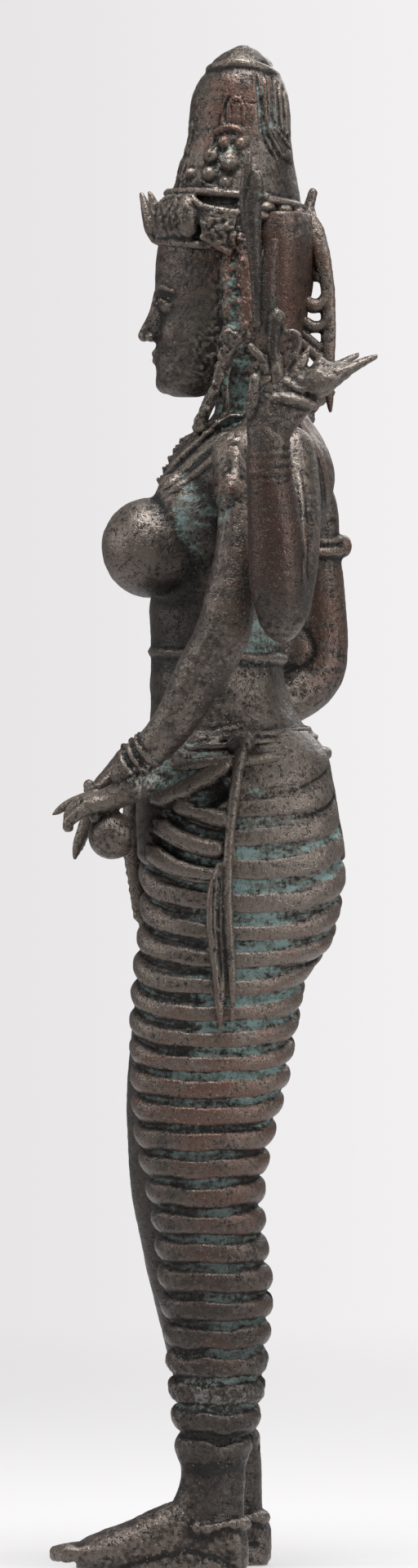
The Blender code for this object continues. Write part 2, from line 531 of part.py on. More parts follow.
def add_crown(wax):
    """A tall bell-shaped crown with a ring and a low cone on top, lobes behind and a cluster at each side."""
    rows = []
    for height in (650.0, 668.0, 676.0, 688.0, 699.0, 712.0, 722.0, 730.0, 736.0):
        front, back, half = crown_section(height)
        rows.append((height, front, back, half, 0.0))
    wax.loft(rows, sides=40)
    wax.hoop((0.0, 15.2, 733.4), 17.6, 2.7, (0.0, 0.1, 1.0), 1.0)
    wax.loft([(732.0, 0.0, 30.0, 15.0, 0.0), (738.0, 2.6, 27.4, 12.4, 0.0), (742.6, 8.0, 23.0, 7.6, 0.0),
              (746.0, 13.0, 18.4, 2.6, 0.0)], sides=24)
    for side in (1.0, -1.0):
        for lobe in range(5):
            turn = side * (112.0 + 15.0 * lobe)
            stations = []
            for height in (732.0, 724.0, 712.0, 701.0, 693.0):
                x, y = crown_spot(height, turn, -2.6 if height > 730.0 else -1.2)
                stations.append((x, y, height, 2.4 if height > 694.0 else 3.0))
            wax.limb(stations, sides=3)
        for turn, height, radius in ((101.0, 690.0, 4.2), (111.0, 699.0, 2.8), (83.0, 699.0, 2.8),
                                     (75.0, 693.0, 3.0), (76.0, 684.0, 3.0), (96.0, 679.0, 3.0),
                                     (113.0, 681.0, 2.8), (55.0, 684.0, 2.4)):
            x, y = crown_spot(height, side * (180.0 - turn), 0.6)
            wax.ball((x, y, height), (radius, radius, radius), sides=12)
        x, y = crown_spot(710.0, side * 84.0, 0.2)
        wax.ball((x, y, 710.0), (2.2, 4.4, 8.0))
    rim = []
    band = []
    for step in range(33):
        turn = 360.0 * step / 32.0
        back_share = 0.5 - 0.5 * math.cos(math.radians(turn))
        x, y = crown_spot(668.0, turn, 2.0)
        rim.append((x, y, 673.0 - 4.0 * back_share, 2.4))
        x, y = crown_spot(656.0, turn, 2.6)
        band.append((x, y, 650.0 + 8.0 * back_share, 2.6))
    wax.limb(rim, sides=2)
    wax.limb(band, sides=2)
    for step in range(22):
        turn = 360.0 * (step + 0.5) / 22.0
        x, y = crown_spot(662.0, turn, 2.4)
        wax.ball((x, y, 662.0), (4.4, 4.4, 5.0), sides=10)


def add_diadem(wax):
    """Pointed leaves round the front of the crown's rim."""
    for turn, tall, lean in ((0.0, 675.0, 8.0), (26.0, 673.4, 6.4), (-26.0, 673.4, 6.4), (64.0, 673.0, 5.0),
                             (-64.0, 673.0, 5.0)):
        x, y = crown_spot(654.0, turn, 2.0)
        outward = Vector((math.sin(math.radians(turn)), -math.cos(math.radians(turn)), 0.0))
        foot = Vector((x, y, 652.0))
        tip = foot + outward * lean
        wax.limb([(foot.x, foot.y, 651.0, 4.2), (foot.x + outward.x * 2.6, foot.y + outward.y * 2.6, 661.0, 3.4),
                  (tip.x * 0.99, tip.y * 0.99, tall, 1.2)], sides=3)
    for side in (1.0, -1.0):
        wax.ball((side * 31.5, 2.0, 656.0), (2.6, 11.0, 8.0), (18.0, 0.0, 0.0))


def add_back_ornament(wax):
    """Behind the head a pointed drop and open loops hang from the crown's rim, ending in tails."""
    wax.limb([(0.0, 46.0, 664.0, 3.6), (0.0, 48.6, 669.0, 3.0), (0.0, 48.2, 674.4, 2.4)])
    for side in (1.0, 0.0, -1.0):
        x = side * 9.0
        wax.limb([(x * 0.4, 45.0, 666.0, 3.0), (x, 51.0, 656.0, 2.8), (x, 55.4, 640.0, 2.8), (x, 57.8, 624.0, 2.8),
                  (x, 58.4, 606.0, 2.6), (x, 58.2, 590.0, 2.4), (x, 57.8, 576.0, 2.0), (x, 57.6, 566.6, 1.2)], sides=3)
    wax.ball((0.0, 50.4, 646.0), (9.0, 4.4, 16.0), (4.0, 0.0, 0.0))
    for height, dip in ((617.0, 2.6), (606.0, 3.0)):
        wax.limb([(0.0, 42.0, height - 1.0, 3.2), (0.0, 50.0, height - dip, 3.0), (0.0, 57.0, height + 4.0, 2.8)])
        for side in (1.0, -1.0):
            wax.limb([(side * 4.0, 42.0, height - 1.0, 3.2), (side * 8.0, 50.0, height - dip, 3.0),
                      (side * 9.0, 57.0, height + 4.0, 2.8)])
    wax.limb([(0.0, 43.0, 602.0, 3.2), (0.0, 50.0, 597.0, 3.0), (0.0, 57.0, 591.0, 3.0)])


def add_necklaces(wax):
    """Three cords round the neck. They rise behind and dip steeply between the breasts."""
    for front, low, wide in ((-15.6, 552.0, 22.0), (-21.0, 542.5, 27.5), (-26.0, 532.0, 33.0)):
        stations = []
        for step in range(25):
            turn = 2.0 * math.pi * step / 24.0
            forward = math.cos(turn)
            back = 37.0 + 0.3 * (552.0 - low)
            stations.append((
                wide * math.sin(turn),
                0.5 * (front + back) + 0.5 * (front - back) * forward,
                563.0 + (low - 563.0) * max(0.0, forward) ** 1.3 - 3.0 * min(0.0, forward),
                1.9,
            ))
        wax.limb(stations, sides=2)


def melt(wax):
    """Melts the pieces into one skin, keeps the largest body, thins its faces and cuts the soles flat."""
    rough = bpy.data.meshes.new("rough")
    for vert in wax.mesh.verts:
        share = min(1.0, max(0.0, vert.co.z / (SWAY_TOP * MM)))
        vert.co.x += HIP_SWAY * MM * math.sin(math.pi * share)
    bmesh.ops.remove_doubles(wax.mesh, verts=wax.mesh.verts, dist=0.00001 * MM / 0.001)
    wax.mesh.to_mesh(rough)
    wax.mesh.free()
    thing = bpy.data.objects.new("rough", rough)
    bpy.context.scene.collection.objects.link(thing)
    remesh = thing.modifiers.new("melt", "REMESH")
    remesh.mode = "VOXEL"
    remesh.voxel_size = VOXEL * MM
    graph = bpy.context.evaluated_depsgraph_get()
    graph.update()
    melted = bpy.data.meshes.new_from_object(thing.evaluated_get(graph))
    bpy.data.objects.remove(thing, do_unlink=True)
    keep_largest(melted)
    soften = bpy.data.objects.new("soften", melted)
    bpy.context.scene.collection.objects.link(soften)
    thin = soften.modifiers.new("thin", "DECIMATE")
    thin.ratio = FACE_BUDGET / (2.0 * len(melted.polygons))
    graph = bpy.context.evaluated_depsgraph_get()
    graph.update()
    skin = bpy.data.meshes.new_from_object(soften.evaluated_get(graph))
    bpy.data.objects.remove(soften, do_unlink=True)
    cut_soles(skin)
    return skin


def keep_largest(mesh):
    work = bmesh.new()
    work.from_mesh(mesh)
    left = set(work.verts)
    bodies = []
    while left:
        body = {left.pop()}
        edge = list(body)
        while edge:
            for link in edge.pop().link_edges:
                for vert in link.verts:
                    if vert in left:
                        left.discard(vert)
                        body.add(vert)
                        edge.append(vert)
        bodies.append(body)
    bodies.sort(key=len)
    for body in bodies[:-1]:
        bmesh.ops.delete(work, geom=list(body), context="VERTS")
    work.to_mesh(mesh)
    work.free()


def cut_soles(mesh):
    """The soles are one flat plane at z = 0."""
    work = bmesh.new()
    work.from_mesh(mesh)
    everything = list(work.verts) + list(work.edges) + list(work.faces)
    bmesh.ops.bisect_plane(work, geom=everything, plane_co=(0.0, 0.0, 0.0), plane_no=(0.0, 0.0, -1.0),
                           clear_outer=True, dist=1e-7)
    rims = [edge for edge in work.edges if edge.is_boundary]
    made = bmesh.ops.holes_fill(work, edges=rims)
    bmesh.ops.triangulate(work, faces=made["faces"])
    bmesh.ops.dissolve_degenerate(work, dist=1e-6, edges=work.edges)
    bmesh.ops.triangulate(work, faces=work.faces)
    bmesh.ops.recalc_face_normals(work, faces=work.faces)
    work.to_mesh(mesh)
    work.free()


def bronze():
    material = bpy.data.materials.new("dark_bronze")
    material.use_nodes = True
    shader = material.node_tree.nodes["Principled BSDF"]
    shader.inputs["Base Color"].default_value = BRONZE
    shader.inputs["Metallic"].default_value = 0.55
    shader.inputs["Roughness"].default_value = 0.5
    return material


def make_statue():
    wax = WaxModel()
    add_near_leg(wax)
    add_far_leg(wax)
    add_foot(wax, 17.6, 24.0, 0.0)
    add_foot(wax, 29.0, -33.0, 0.22)
    add_torso(wax)
    add_skirt_top(wax)
    add_front_arms(wax)
    add_near_front_hand(wax)
    add_far_front_hand(wax)
    add_head(wax)
    add_crown(wax)
    add_diadem(wax)
    add_back_ornament(wax)
    add_necklaces(wax)
    for side in (1.0, -1.0):
        add_side_sash(wax, side)
        add_rear_arm(wax, side)
        add_rear_hand(wax, side)
        add_goad(wax, side)
    skin = melt(wax)
    statue = bpy.data.objects.new(NAME, skin)
    statue.data.name = NAME
    statue.data.materials.clear()
    statue.data.materials.append(bronze())
    shelf = bpy.data.collections.new(NAME)
    bpy.context.scene.collection.children.link(shelf)
    shelf.objects.link(statue)
    statue.data.shade_smooth()
    statue.data.set_sharp_from_angle(angle=math.radians(50.0))
    return statue


clear_scene()
make_statue()
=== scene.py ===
from math import ceil, cos, pi, radians, sin, sqrt

import bmesh
import bpy
import numpy as np
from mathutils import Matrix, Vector


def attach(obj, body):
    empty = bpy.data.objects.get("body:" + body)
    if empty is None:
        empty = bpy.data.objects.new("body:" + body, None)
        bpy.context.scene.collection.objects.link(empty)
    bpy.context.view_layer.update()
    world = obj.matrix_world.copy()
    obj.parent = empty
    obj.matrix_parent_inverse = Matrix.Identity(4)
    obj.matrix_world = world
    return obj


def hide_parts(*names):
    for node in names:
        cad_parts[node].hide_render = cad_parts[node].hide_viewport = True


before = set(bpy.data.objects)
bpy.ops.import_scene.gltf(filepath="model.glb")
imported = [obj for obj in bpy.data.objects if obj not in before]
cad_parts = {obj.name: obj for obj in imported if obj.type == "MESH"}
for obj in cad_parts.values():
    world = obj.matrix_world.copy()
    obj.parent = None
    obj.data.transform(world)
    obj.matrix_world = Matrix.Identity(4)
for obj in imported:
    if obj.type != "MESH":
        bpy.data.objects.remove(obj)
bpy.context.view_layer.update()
scene = bpy.context.scene
mm = 0.001  # the sizes below are millimetres on a figure 746 mm tall

# The camera stands level at her left side, far off, as in the photograph
view = {"distance": 6.0, "sideways": -0.0016, "height": 0.384, "covers": 0.768, "film": 24.0}

bpy.ops.object.camera_add(location=(view["distance"], view["sideways"], view["height"]),
                          rotation=(radians(90.0), 0.0, radians(90.0)))
camera = bpy.context.object
camera.name = "sideCamera"
camera.data.sensor_fit = "VERTICAL"
camera.data.sensor_height = view["film"]
camera.data.lens = view["film"] * view["distance"] / view["covers"]
camera.data.clip_end = 60.0
scene.camera = camera
print("camera set")


def step(low, high, value):
    share = np.clip((value - low) / (high - low), 0.0, 1.0)
    return share * share * (3.0 - 2.0 * share)


def rowsAt(rows, places):
    # smooth curves through a table's rows, read at any place along its first column
    table = np.array(sorted(rows), float)
    at, values = table[:, 0], table[:, 1:]
    slopes = np.gradient(values, at, axis=0)
    places = np.clip(np.atleast_1d(places), at[0], at[-1])
    index = np.clip(np.searchsorted(at, places) - 1, 0, len(at) - 2)
    width = (at[index + 1] - at[index])[:, None]
    t = (places - at[index])[:, None] / width
    start, end = values[index], values[index + 1]
    leave, arrive = slopes[index] * width, slopes[index + 1] * width
    return ((2 * t ** 3 - 3 * t ** 2 + 1) * start + (t ** 3 - 2 * t ** 2 + t) * leave
            + (3 * t ** 2 - 2 * t ** 3) * end + (t ** 3 - t ** 2) * arrive).T


def grain(spots, size, seed=0):
    # smooth random bumps about one size apart, between -1 and 1, the same on every run
    cell = np.asarray(spots) / size + 137.0
    base = np.floor(cell).astype(np.int64)
    share = cell - base
    share = share * share * (3.0 - 2.0 * share)
    total = np.zeros(len(cell))
    for corner in range(8):
        offset = np.array([corner & 1, corner >> 1 & 1, corner >> 2 & 1])
        key = (base + offset) @ np.array([73856093, 19349663, 83492791]) + seed * 7919
        key = (key ^ (key >> 13)) * 1274126177 & 0x7FFFFFFF
        key = (key ^ (key >> 16)) * 668265263 & 0x7FFFFFFF
        weight = np.prod(np.where(offset, share, 1.0 - share), axis=1)
        total += weight * ((key >> 8 & 0xFFFF) / 32767.5 - 1.0)
    return total


bench = []  # the raw wax shapes of one piece, until they are melted together


def clearSelection():
    if bpy.context.object and bpy.context.object.mode != "OBJECT":
        bpy.ops.object.mode_set(mode="OBJECT")
    bpy.ops.object.select_all(action="DESELECT")


def spotsOf(thing):
    flat = np.empty(len(thing.data.vertices) * 3)
    thing.data.vertices.foreach_get("co", flat)
    return flat.reshape(-1, 3) / mm


def normalsOf(thing):
    flat = np.empty(len(thing.data.vertices) * 3)
    thing.data.vertices.foreach_get("normal", flat)
    return flat.reshape(-1, 3)


def setSpots(thing, spots):
    thing.data.vertices.foreach_set("co", (spots * mm).ravel())
    thing.data.update()


def settle(thing):
    # its place, turn and size go into its mesh
    clearSelection()
    thing.select_set(True)
    bpy.context.view_layer.objects.active = thing
    bpy.ops.object.transform_apply(location=True, rotation=True, scale=True)
    bench.append(thing)
    return thing


def addBall(centre, half, turn=(0.0, 0.0, 0.0), sides=24):
    clearSelection()
    bpy.ops.mesh.primitive_uv_sphere_add(segments=sides, ring_count=sides * 2 // 3, radius=1.0,
                                         location=Vector(centre) * mm,
                                         rotation=[radians(angle) for angle in turn])
    thing = bpy.context.object
    thing.scale = [size * mm for size in half]
    return settle(thing)


def addHoop(centre, radius, thickness, along, squash=(1.0, 1.0)):
    clearSelection()
    bpy.ops.mesh.primitive_torus_add(major_radius=radius * mm, minor_radius=thickness * mm,
                                     major_segments=48, minor_segments=10, location=Vector(centre) * mm)
    thing = bpy.context.object
    thing.rotation_euler = Vector(along).to_track_quat("Z", "Y").to_euler()
    thing.scale = (squash[0], squash[1], 1.0)
    return settle(thing)


def addTube(stations, sides=4, closed=False, smoothness=6):
    # a round cord or limb through stations of x, y, z and radius
    clearSelection()
    bpy.ops.curve.primitive_bezier_curve_add(location=(0.0, 0.0, 0.0))
    thing = bpy.context.object
    curve = thing.data
    curve.splines.clear()
    spline = curve.splines.new("BEZIER")
    spline.bezier_points.add(len(stations) - 1)
    for point, (x, y, z, radius) in zip(spline.bezier_points, stations):
        point.co = Vector((x, y, z)) * mm
        point.radius = radius
        point.handle_left_type = "AUTO"
        point.handle_right_type = "AUTO"
    spline.use_cyclic_u = closed
    curve.bevel_depth = mm
    curve.bevel_resolution = sides
    curve.resolution_u = smoothness
    curve.use_fill_caps = not closed
    bpy.ops.object.convert(target="MESH")
    settle(bpy.context.object)
    if not closed:
        for x, y, z, radius in (stations[0], stations[-1]):
            addBall((x, y, z), (radius, radius, radius), sides=12)


def chooseUpright(thing):
    bpy.ops.mesh.select_all(action="DESELECT")
    work = bmesh.from_edit_mesh(thing.data)
    for edge in work.edges:
        rise = edge.verts[0].co - edge.verts[1].co
        edge.select_set(abs(rise.z) > 1e-6 and abs(rise.x) < 1e-7 and abs(rise.y) < 1e-7)
    bmesh.update_edit_mesh(thing.data)


def addTrunk(rows, sides=48, ringGap=2.0, level="Z", shape=None):
    # a body through oval sections: place, front, back (or bottom, top where level is Y), half width, middle
    rows = [(*row, 0.0)[:5] for row in rows]  # a row without a middle stands at 0
    low, high = min(row[0] for row in rows), max(row[0] for row in rows)
    rings = max(4, ceil((high - low) / ringGap))
    first = max(2, round(sqrt(rings)))
    second = max(2, ceil(rings / first))
    clearSelection()
    bpy.ops.mesh.primitive_cylinder_add(vertices=sides, radius=1.0, depth=1.0, location=(0.0, 0.0, 0.0),
                                        end_fill_type="NGON")
    thing = bpy.context.object
    bpy.ops.object.mode_set(mode="EDIT")
    bpy.ops.mesh.select_mode(type="EDGE")
    for cuts in (first - 1, second - 1):
        chooseUpright(thing)
        bpy.ops.mesh.subdivide(number_cuts=cuts)
    bpy.ops.object.mode_set(mode="OBJECT")
    spots = spotsOf(thing) * mm  # the cylinder is still one unit wide and high
    places = low + (spots[:, 2] + 0.5) * (high - low)
    angle = np.arctan2(spots[:, 0], -spots[:, 1])
    front, back, half, middle = rowsAt(rows, places)
    out = 1.0 if shape is None else shape(places, angle, 0.5 * (back - front))
    across = middle + half * np.sin(angle) * out
    deep = 0.5 * (front + back) - 0.5 * (back - front) * np.cos(angle) * out
    setSpots(thing, np.stack([across, deep, places] if level == "Z" else [across, places, deep], axis=1))
    bpy.ops.object.mode_set(mode="EDIT")
    bpy.ops.mesh.select_mode(type="VERT")
    bpy.ops.mesh.select_all(action="SELECT")
    bpy.ops.mesh.normals_make_consistent(inside=False)
    bpy.ops.object.mode_set(mode="OBJECT")
    return settle(thing)


def applyModifier(thing, kind, **settings):
    modifier = thing.modifiers.new(kind.lower(), kind)
    for key, value in settings.items():
        setattr(modifier, key, value)
    clearSelection()
    thing.select_set(True)
    bpy.context.view_layer.objects.active = thing
    bpy.ops.object.modifier_apply(modifier=modifier.name)


def melt(name, voxel, rounds=1, force=0.5):
    # joins what is on the bench and melts it into one closed skin
    clearSelection()
    for thing in bench:
        thing.select_set(True)
    bpy.context.view_layer.objects.active = bench[0]
    bpy.ops.object.join()
    piece = bpy.context.object
    piece.name = name
    piece.data.name = name
    bench.clear()
    if voxel:
        applyModifier(piece, "REMESH", mode="VOXEL", voxel_size=voxel * mm)
    if rounds:
        applyModifier(piece, "SMOOTH", factor=force, iterations=rounds)
    return piece


def edgesOf(thing):
    flat = np.empty(len(thing.data.edges) * 2, dtype=np.int64)
    thing.data.edges.foreach_get("vertices", flat)
    return flat.reshape(-1, 2)


def relax(spots, edges, rounds):
    count = len(spots)
    near, far = edges[:, 0], edges[:, 1]
    degree = np.maximum(np.bincount(edges.ravel(), minlength=count), 1)
    spots = spots.copy()
    for _ in range(rounds):
        moved = np.empty_like(spots)
        for axis in range(spots.shape[1]):
            line = spots[:, axis]
            total = np.bincount(near, line[far], count) + np.bincount(far, line[near], count)
            moved[:, axis] = total / degree
        spots = 0.4 * spots + 0.6 * moved
    return spots


def pathDistance(points, path):
    # how far each flat point is from a drawn line, and how far along the line it lies, from 0 to 1
    path = np.array(path, float)
    lengths = np.linalg.norm(path[1:] - path[:-1], axis=1)
    total = lengths.sum()
    best = np.full(len(points), 1e9)
    along = np.zeros(len(points))
    run = 0.0
    for start, end, length in zip(path[:-1], path[1:], lengths):
        span = end - start
        t = np.clip((points - start) @ span / (length * length), 0.0, 1.0)
        gap = np.linalg.norm(points - start - t[:, None] * span, axis=1)
        closer = gap < best
        best[closer] = gap[closer]
        along[closer] = (run + t[closer] * length) / total
        run += length
    return best, along


def smoothPath(path, parts=6):
    path = [tuple(point) for point in path]
    if len(path) < 3:
        return path
    made = []
    for index in range(len(path) - 1):
        a, b = path[max(index - 1, 0)], path[index]
        c, d = path[index + 1], path[min(index + 2, len(path) - 1)]
        for part in range(parts):
            t = part / parts
            made.append(tuple(0.5 * (2 * q + (r - p) * t + (2 * p - 5 * q + 4 * r - s) * t * t
                                     + (3 * q - p - 3 * r + s) * t ** 3) for p, q, r, s in zip(a, b, c, d)))
    made.append(path[-1])
    return made


def drawLines(piece, lines, sides=(1.0, -1.0)):
    # raises or cuts lines on her sides: each is a path in y and z, a half width and a height
    for side in sides:
        spots, normals = spotsOf(piece), normalsOf(piece)
        facing = step(0.05, 0.35, normals[:, 0] * side)
        move = np.zeros(len(spots))
        for path, width, lift in lines:
            gap, along = pathDistance(spots[:, 1:3], smoothPath(path))
            taper = np.minimum(1.0, np.minimum(along, 1.0 - along) * 8.0 + 0.35)
            share = np.clip(1.0 - (gap / (width * taper)) ** 2, 0.0, 1.0)
            bump = lift * np.sqrt(share) if lift > 0.0 else lift * share
            move = np.where(np.abs(bump) > np.abs(move), bump * taper, move)
        setSpots(piece, spots + normals * (move * facing)[:, None])


def nearness(spots, centre, reach, side=1.0):
    # 1 at a mark's middle, falling away smoothly over its reach on each axis
    gap = (spots - np.array(centre) * (side, 1.0, 1.0)) / np.array(reach)
    return np.exp(-np.einsum("ij,ij->i", gap, gap))


def mirrored(side, stations):
    return [(side * x, *rest) for x, *rest in stations]


def soften(piece, places, rounds):
    # blends the joins round some places, given as a middle and a reach, on both sides
    spots = spotsOf(piece)
    smooth = relax(spots, edgesOf(piece), rounds)
    share = np.zeros(len(spots))
    for centre, reach in places:
        for side in (1.0, -1.0):
            share = np.maximum(share, np.clip(1.6 * nearness(spots, centre, reach, side), 0.0, 1.0))
    setSpots(piece, spots + (smooth - spots) * share[:, None])


def addCrumbs(centre, reach, count, size, seed):
    # small lumps of hard crust strewn over a place
    spots = np.arange(count)[:, None] * 37.1 + np.array([[3.0, 11.0, 23.0]])
    scatter = np.stack([grain(spots + axis * 5.3, 7.7, seed + axis) for axis in range(4)], axis=1)
    for x, y, z, share in scatter:
        half = size * (0.6 + 0.5 * abs(share))
        addBall((centre[0] + reach[0] * x, centre[1] + reach[1] * y, centre[2] + reach[2] * z),
                (half, half * (1.0 + 0.4 * x), half * (0.9 + 0.4 * y)), sides=8)


sway = {"reach": 5.5, "top": 560.0}  # how far her hips are thrust to her left


def swayed(spots):
    share = np.clip(spots[:, 2] / sway["top"], 0.0, 1.0)
    moved = spots.copy()
    moved[:, 0] += sway["reach"] * np.sin(pi * share)
    return moved


# Where old patina gathers, and where shade and light are painted: for each kind, a middle, a reach on each axis
# and a strength
patinaAndShadeMarks = {
    "teal": [
        ((50, 20, 345), (60, 40, 60), 0.38), ((50, -10, 400), (40, 26, 6), 1),
        ((40, 0, 260), (60, 50, 60), 0.26), ((32, 26, 458), (20, 16, 12), 1.2),
        ((55, -10, 512), (30, 12, 16), 0.55), ((30, 5, 570), (30, 12, 16), 0.9),
        ((0, 34, 655), (60, 26, 8), 0.8), ((40, 30, 712), (60, 12, 20), 0.8), ((24, 14, 590), (16, 7, 20), 0.9),
        ((52, -30, 386), (16, 14, 12), 0.9), ((44, -14, 394), (22, 12, 9), 1.4),
        ((73, 9, 518), (8, 10, 10), 0.8), ((36, -14, 518), (20, 8, 20), 0.35),
        ((72, 8, 492), (10, 10, 26), 0.5), ((107, 42, 474), (12, 10, 14), 0.8),
        ((46, -6, 508), (14, 9, 20), 0.8), ((32, 8, 622), (8, 5, 20), 0.8), ((26, 6, 688), (20, 10, 10), 0.6),
        ((105, 22, 660), (12, 5, 12), 1.5), ((30, 26, 612), (16, 14, 16), 0.5),
    ],
    "cream": [
        ((34, 4, 656), (20, 14, 9), 0.55), ((34, 16, 622), (16, 6, 30), 0.6), ((34, 6, 598), (16, 8, 14), 0.45),
        ((51, -58, 367), (8, 6, 3), 1), ((107, 50, 578), (16, 14, 12), 0.3), ((30, 8, 690), (30, 16, 13), 0.8),
        ((0, 14, 744), (30, 14, 6), 0.8), ((62, 2, 248), (30, 16, 7), 0.7), ((28, 26, 438), (20, 14, 20), 0.45),
        ((107, 62, 580), (16, 18, 12), 0.3),
    ],
    "pale": [
        ((58, -32, 386), (30, 14, 9), 1), ((70, 0, 450), (30, 26, 44), 0.35), ((40, 0, 88), (60, 40, 18), 0.75),
        ((26, 6, 690), (20, 12, 14), 0.7), ((28, 24, 442), (20, 16, 24), 0.45),
        ((48, -56, 374), (14, 16, 10), 0.6), ((26, 10, 585), (12, 8, 20), 0.55),
        ((66, -16, 426), (20, 16, 26), 0.3),
    ],
    "warm": [
        ((34, 30, 640), (30, 16, 26), 0.5), ((107, 27, 510), (30, 20, 40), 0.9),
        ((-80, 55, 480), (30, 20, 50), 0.8), ((20, 20, 625), (60, 40, 30), 0.6),
        ((0, 8, 715), (60, 26, 26), 0.7), ((40, 10, 210), (60, 50, 90), 0.55),
        ((0, 60, 560), (60, 20, 40), 0.6), ((105, 28, 628), (12, 5, 24), 0.5),
    ],
    # dark is partly darker bronze and partly painted shade: a positive strength paints shade, as under the
    # breast, on the far leg, the lower forearm, the rear arm and the goad; a negative strength paints light, as
    # on the hip's back, the rosette and the waist's side
    "dark": [
        ((26, 7, 568), (9, 5, 5), 1), ((58, 14, 404), (12, 9, 7), 0.8), ((60, 4, 310), (30, 7, 90), 0.5),
        ((40, 0, 190), (50, 50, 40), 0.35), ((0, 0, 70), (90, 60, 90), 0.5), ((60, -6, 372), (30, 16, 16), 0.4),
        ((60, 34, 330), (40, 30, 70), -0.75), ((40, 30, 250), (40, 26, 50), -0.4),
        ((26, 6, 690), (20, 16, 16), -1.3), ((107, 28, 505), (20, 20, 46), 1.4),
        ((105, 22, 640), (12, 14, 42), 1.1), ((30, 24, 440), (20, 18, 28), -1.4),
        ((40, 0, 110), (40, 40, 50), 0.9), ((40, -26, 230), (40, 12, 70), 0.4),
        ((60, -16, 440), (26, 22, 50), 0.35), ((-30, -30, 200), (22, 24, 110), 1.3),
        ((74, 0, 466), (14, 16, 46), 0.5), ((72, 3, 430), (16, 10, 22), 0.9),
        ((62, -15, 406), (14, 8, 14), 0.7), ((46, -2, 525), (20, 14, 22), 0.8),
        ((107, 30, 596), (14, 7, 12), 0.8), ((107, 50, 578), (16, 24, 16), -0.5),
        ((34, 34, 636), (24, 18, 30), 0.5), ((20, -14, 445), (36, 22, 36), 1.1),
        ((20, -30, 478), (30, 26, 7), 0.8), ((48, -52, 376), (16, 22, 10), -0.9),
    ],
}


hollows = {"closeRounds": 3, "broadRounds": 30, "dipGain": 2.5, "hollowGain": 0.36}
plainShade = 0.35  # the value of the dark channel that paints neither shade nor light
pieces = []  # the finished pieces, in the order in which they were made


def paintPatinaAndShade(piece, extra):
    # two point attributes for the material: how hollow each spot is with its painted shade and painted light,
    # and which stains lie on it
    spots, normals, edges = spotsOf(piece), normalsOf(piece), edgesOf(piece)
    close = relax(spots, edges, hollows["closeRounds"])
    broad = relax(close, edges, hollows["broadRounds"])
    dip = np.einsum("ij,ij->i", close - spots, normals)
    hollow = np.einsum("ij,ij->i", broad - spots, normals)
    count = len(spots)
    reliefAndPaintedShade = np.ones((count, 4))
    reliefAndPaintedShade[:, 0] = np.clip(0.5 + dip * hollows["dipGain"], 0.0, 1.0)
    reliefAndPaintedShade[:, 1] = np.clip(0.5 + hollow * hollows["hollowGain"], 0.0, 1.0)
    stains = {kind: np.zeros(count) for kind in patinaAndShadeMarks}
    for kind, places in patinaAndShadeMarks.items():
        for centre, reach, strength in places:
            stains[kind] += strength * nearness(spots, centre, reach)
    for kind, values in extra.items():
        stains[kind] += values
    # the third channel is painted shade above plainShade and painted light below it
    reliefAndPaintedShade[:, 2] = np.clip(plainShade + (1.0 - plainShade) * stains["dark"], 0.0, 1.0)
    marks = np.ones((count, 4))
    for column, kind in enumerate(("teal", "cream", "pale", "warm")):
        marks[:, column] = np.clip(stains[kind], 0.0, 1.0)
    for name, values in (("reliefAndPaintedShade", reliefAndPaintedShade), ("marks", marks)):
        layer = piece.data.attributes.new(name, "FLOAT_COLOR", "POINT")
        layer.data.foreach_set("color", values.ravel())


# Where hard crust has grown on the bronze: its middle, its reach on each axis and how thick it is
crustMarks = [
    ((30, 10, 626), (20, 8, 26), 0.9), ((30, 0, 596), (20, 10, 14), 0.9), ((28, -4, 568), (16, 8, 16), 0.9),
    ((0, -20, 660), (40, 8, 7), 0.35), ((30, 2, 654), (16, 10, 9), 0.6), ((10, -20, 684), (30, 12, 20), 0.45),
    ((20, 2, 556), (24, 14, 8), 0.6), ((24, 8, 6), (20, 16, 6), 0.5), ((107, 52, 580), (12, 22, 12), 0.35),
    ((24, 0, 88), (40, 40, 30), 0.25),
]


# How far the solid reaches on each axis, low and high; the looks stay inside it
reaches = ((-116.9, 118.6), (-79.7, 79.7), (0.0, 746.4))


def keepInside(spots):
    knee = 1.2  # only the last stretch before each limit is pressed in
    for axis, (low, high) in enumerate(reaches):
        over = np.maximum(spots[:, axis] - (high - knee), 0.0)
        spots[:, axis] -= over - knee * np.tanh(over / knee)
        if axis < 2:
            under = np.maximum(low + knee - spots[:, axis], 0.0)
            spots[:, axis] += under - knee * np.tanh(under / knee)
    spots[:, 2] = np.maximum(spots[:, 2], 0.0)
    return spots


waxTouch = {"broad": 0.16, "broadSize": 9.0, "fine": 0.07, "fineSize": 3.4, "farCrust": 0.6, "mostCrust": 1.2}


def finishPiece(piece, roughness=0.0, extra=None):
    # the last uneven touch of hand-cut wax and old casting, then the sway, the stains with the painted shade
    # and painted light, and the shading
    spots, normals = spotsOf(piece), normalsOf(piece)
    uneven = waxTouch["broad"] * grain(spots, waxTouch["broadSize"], 1)
    uneven += waxTouch["fine"] * grain(spots, waxTouch["fineSize"], 2)
    thick = np.full(len(spots), roughness)
    for centre, reach, depth in crustMarks:
        for side in (1.0, -1.0):
            share = 1.0 if side > 0.0 else waxTouch["farCrust"]
            thick += depth * share * nearness(spots, centre, reach, side)
    crust = np.clip(grain(spots, 2.6, 3) + 0.7 * grain(spots, 1.5, 4), -0.4, 1.0)
    uneven += np.minimum(thick, waxTouch["mostCrust"]) * (crust - 0.2)
    setSpots(piece, keepInside(swayed(spots + normals * uneven[:, None])))
    paintPatinaAndShade(piece, extra or {})
    piece.data.shade_smooth()
    pieces.append(piece)
    triangles = sum(len(face.vertices) - 2 for face in piece.data.polygons)
    print("made", piece.name, "with", triangles, "triangles")


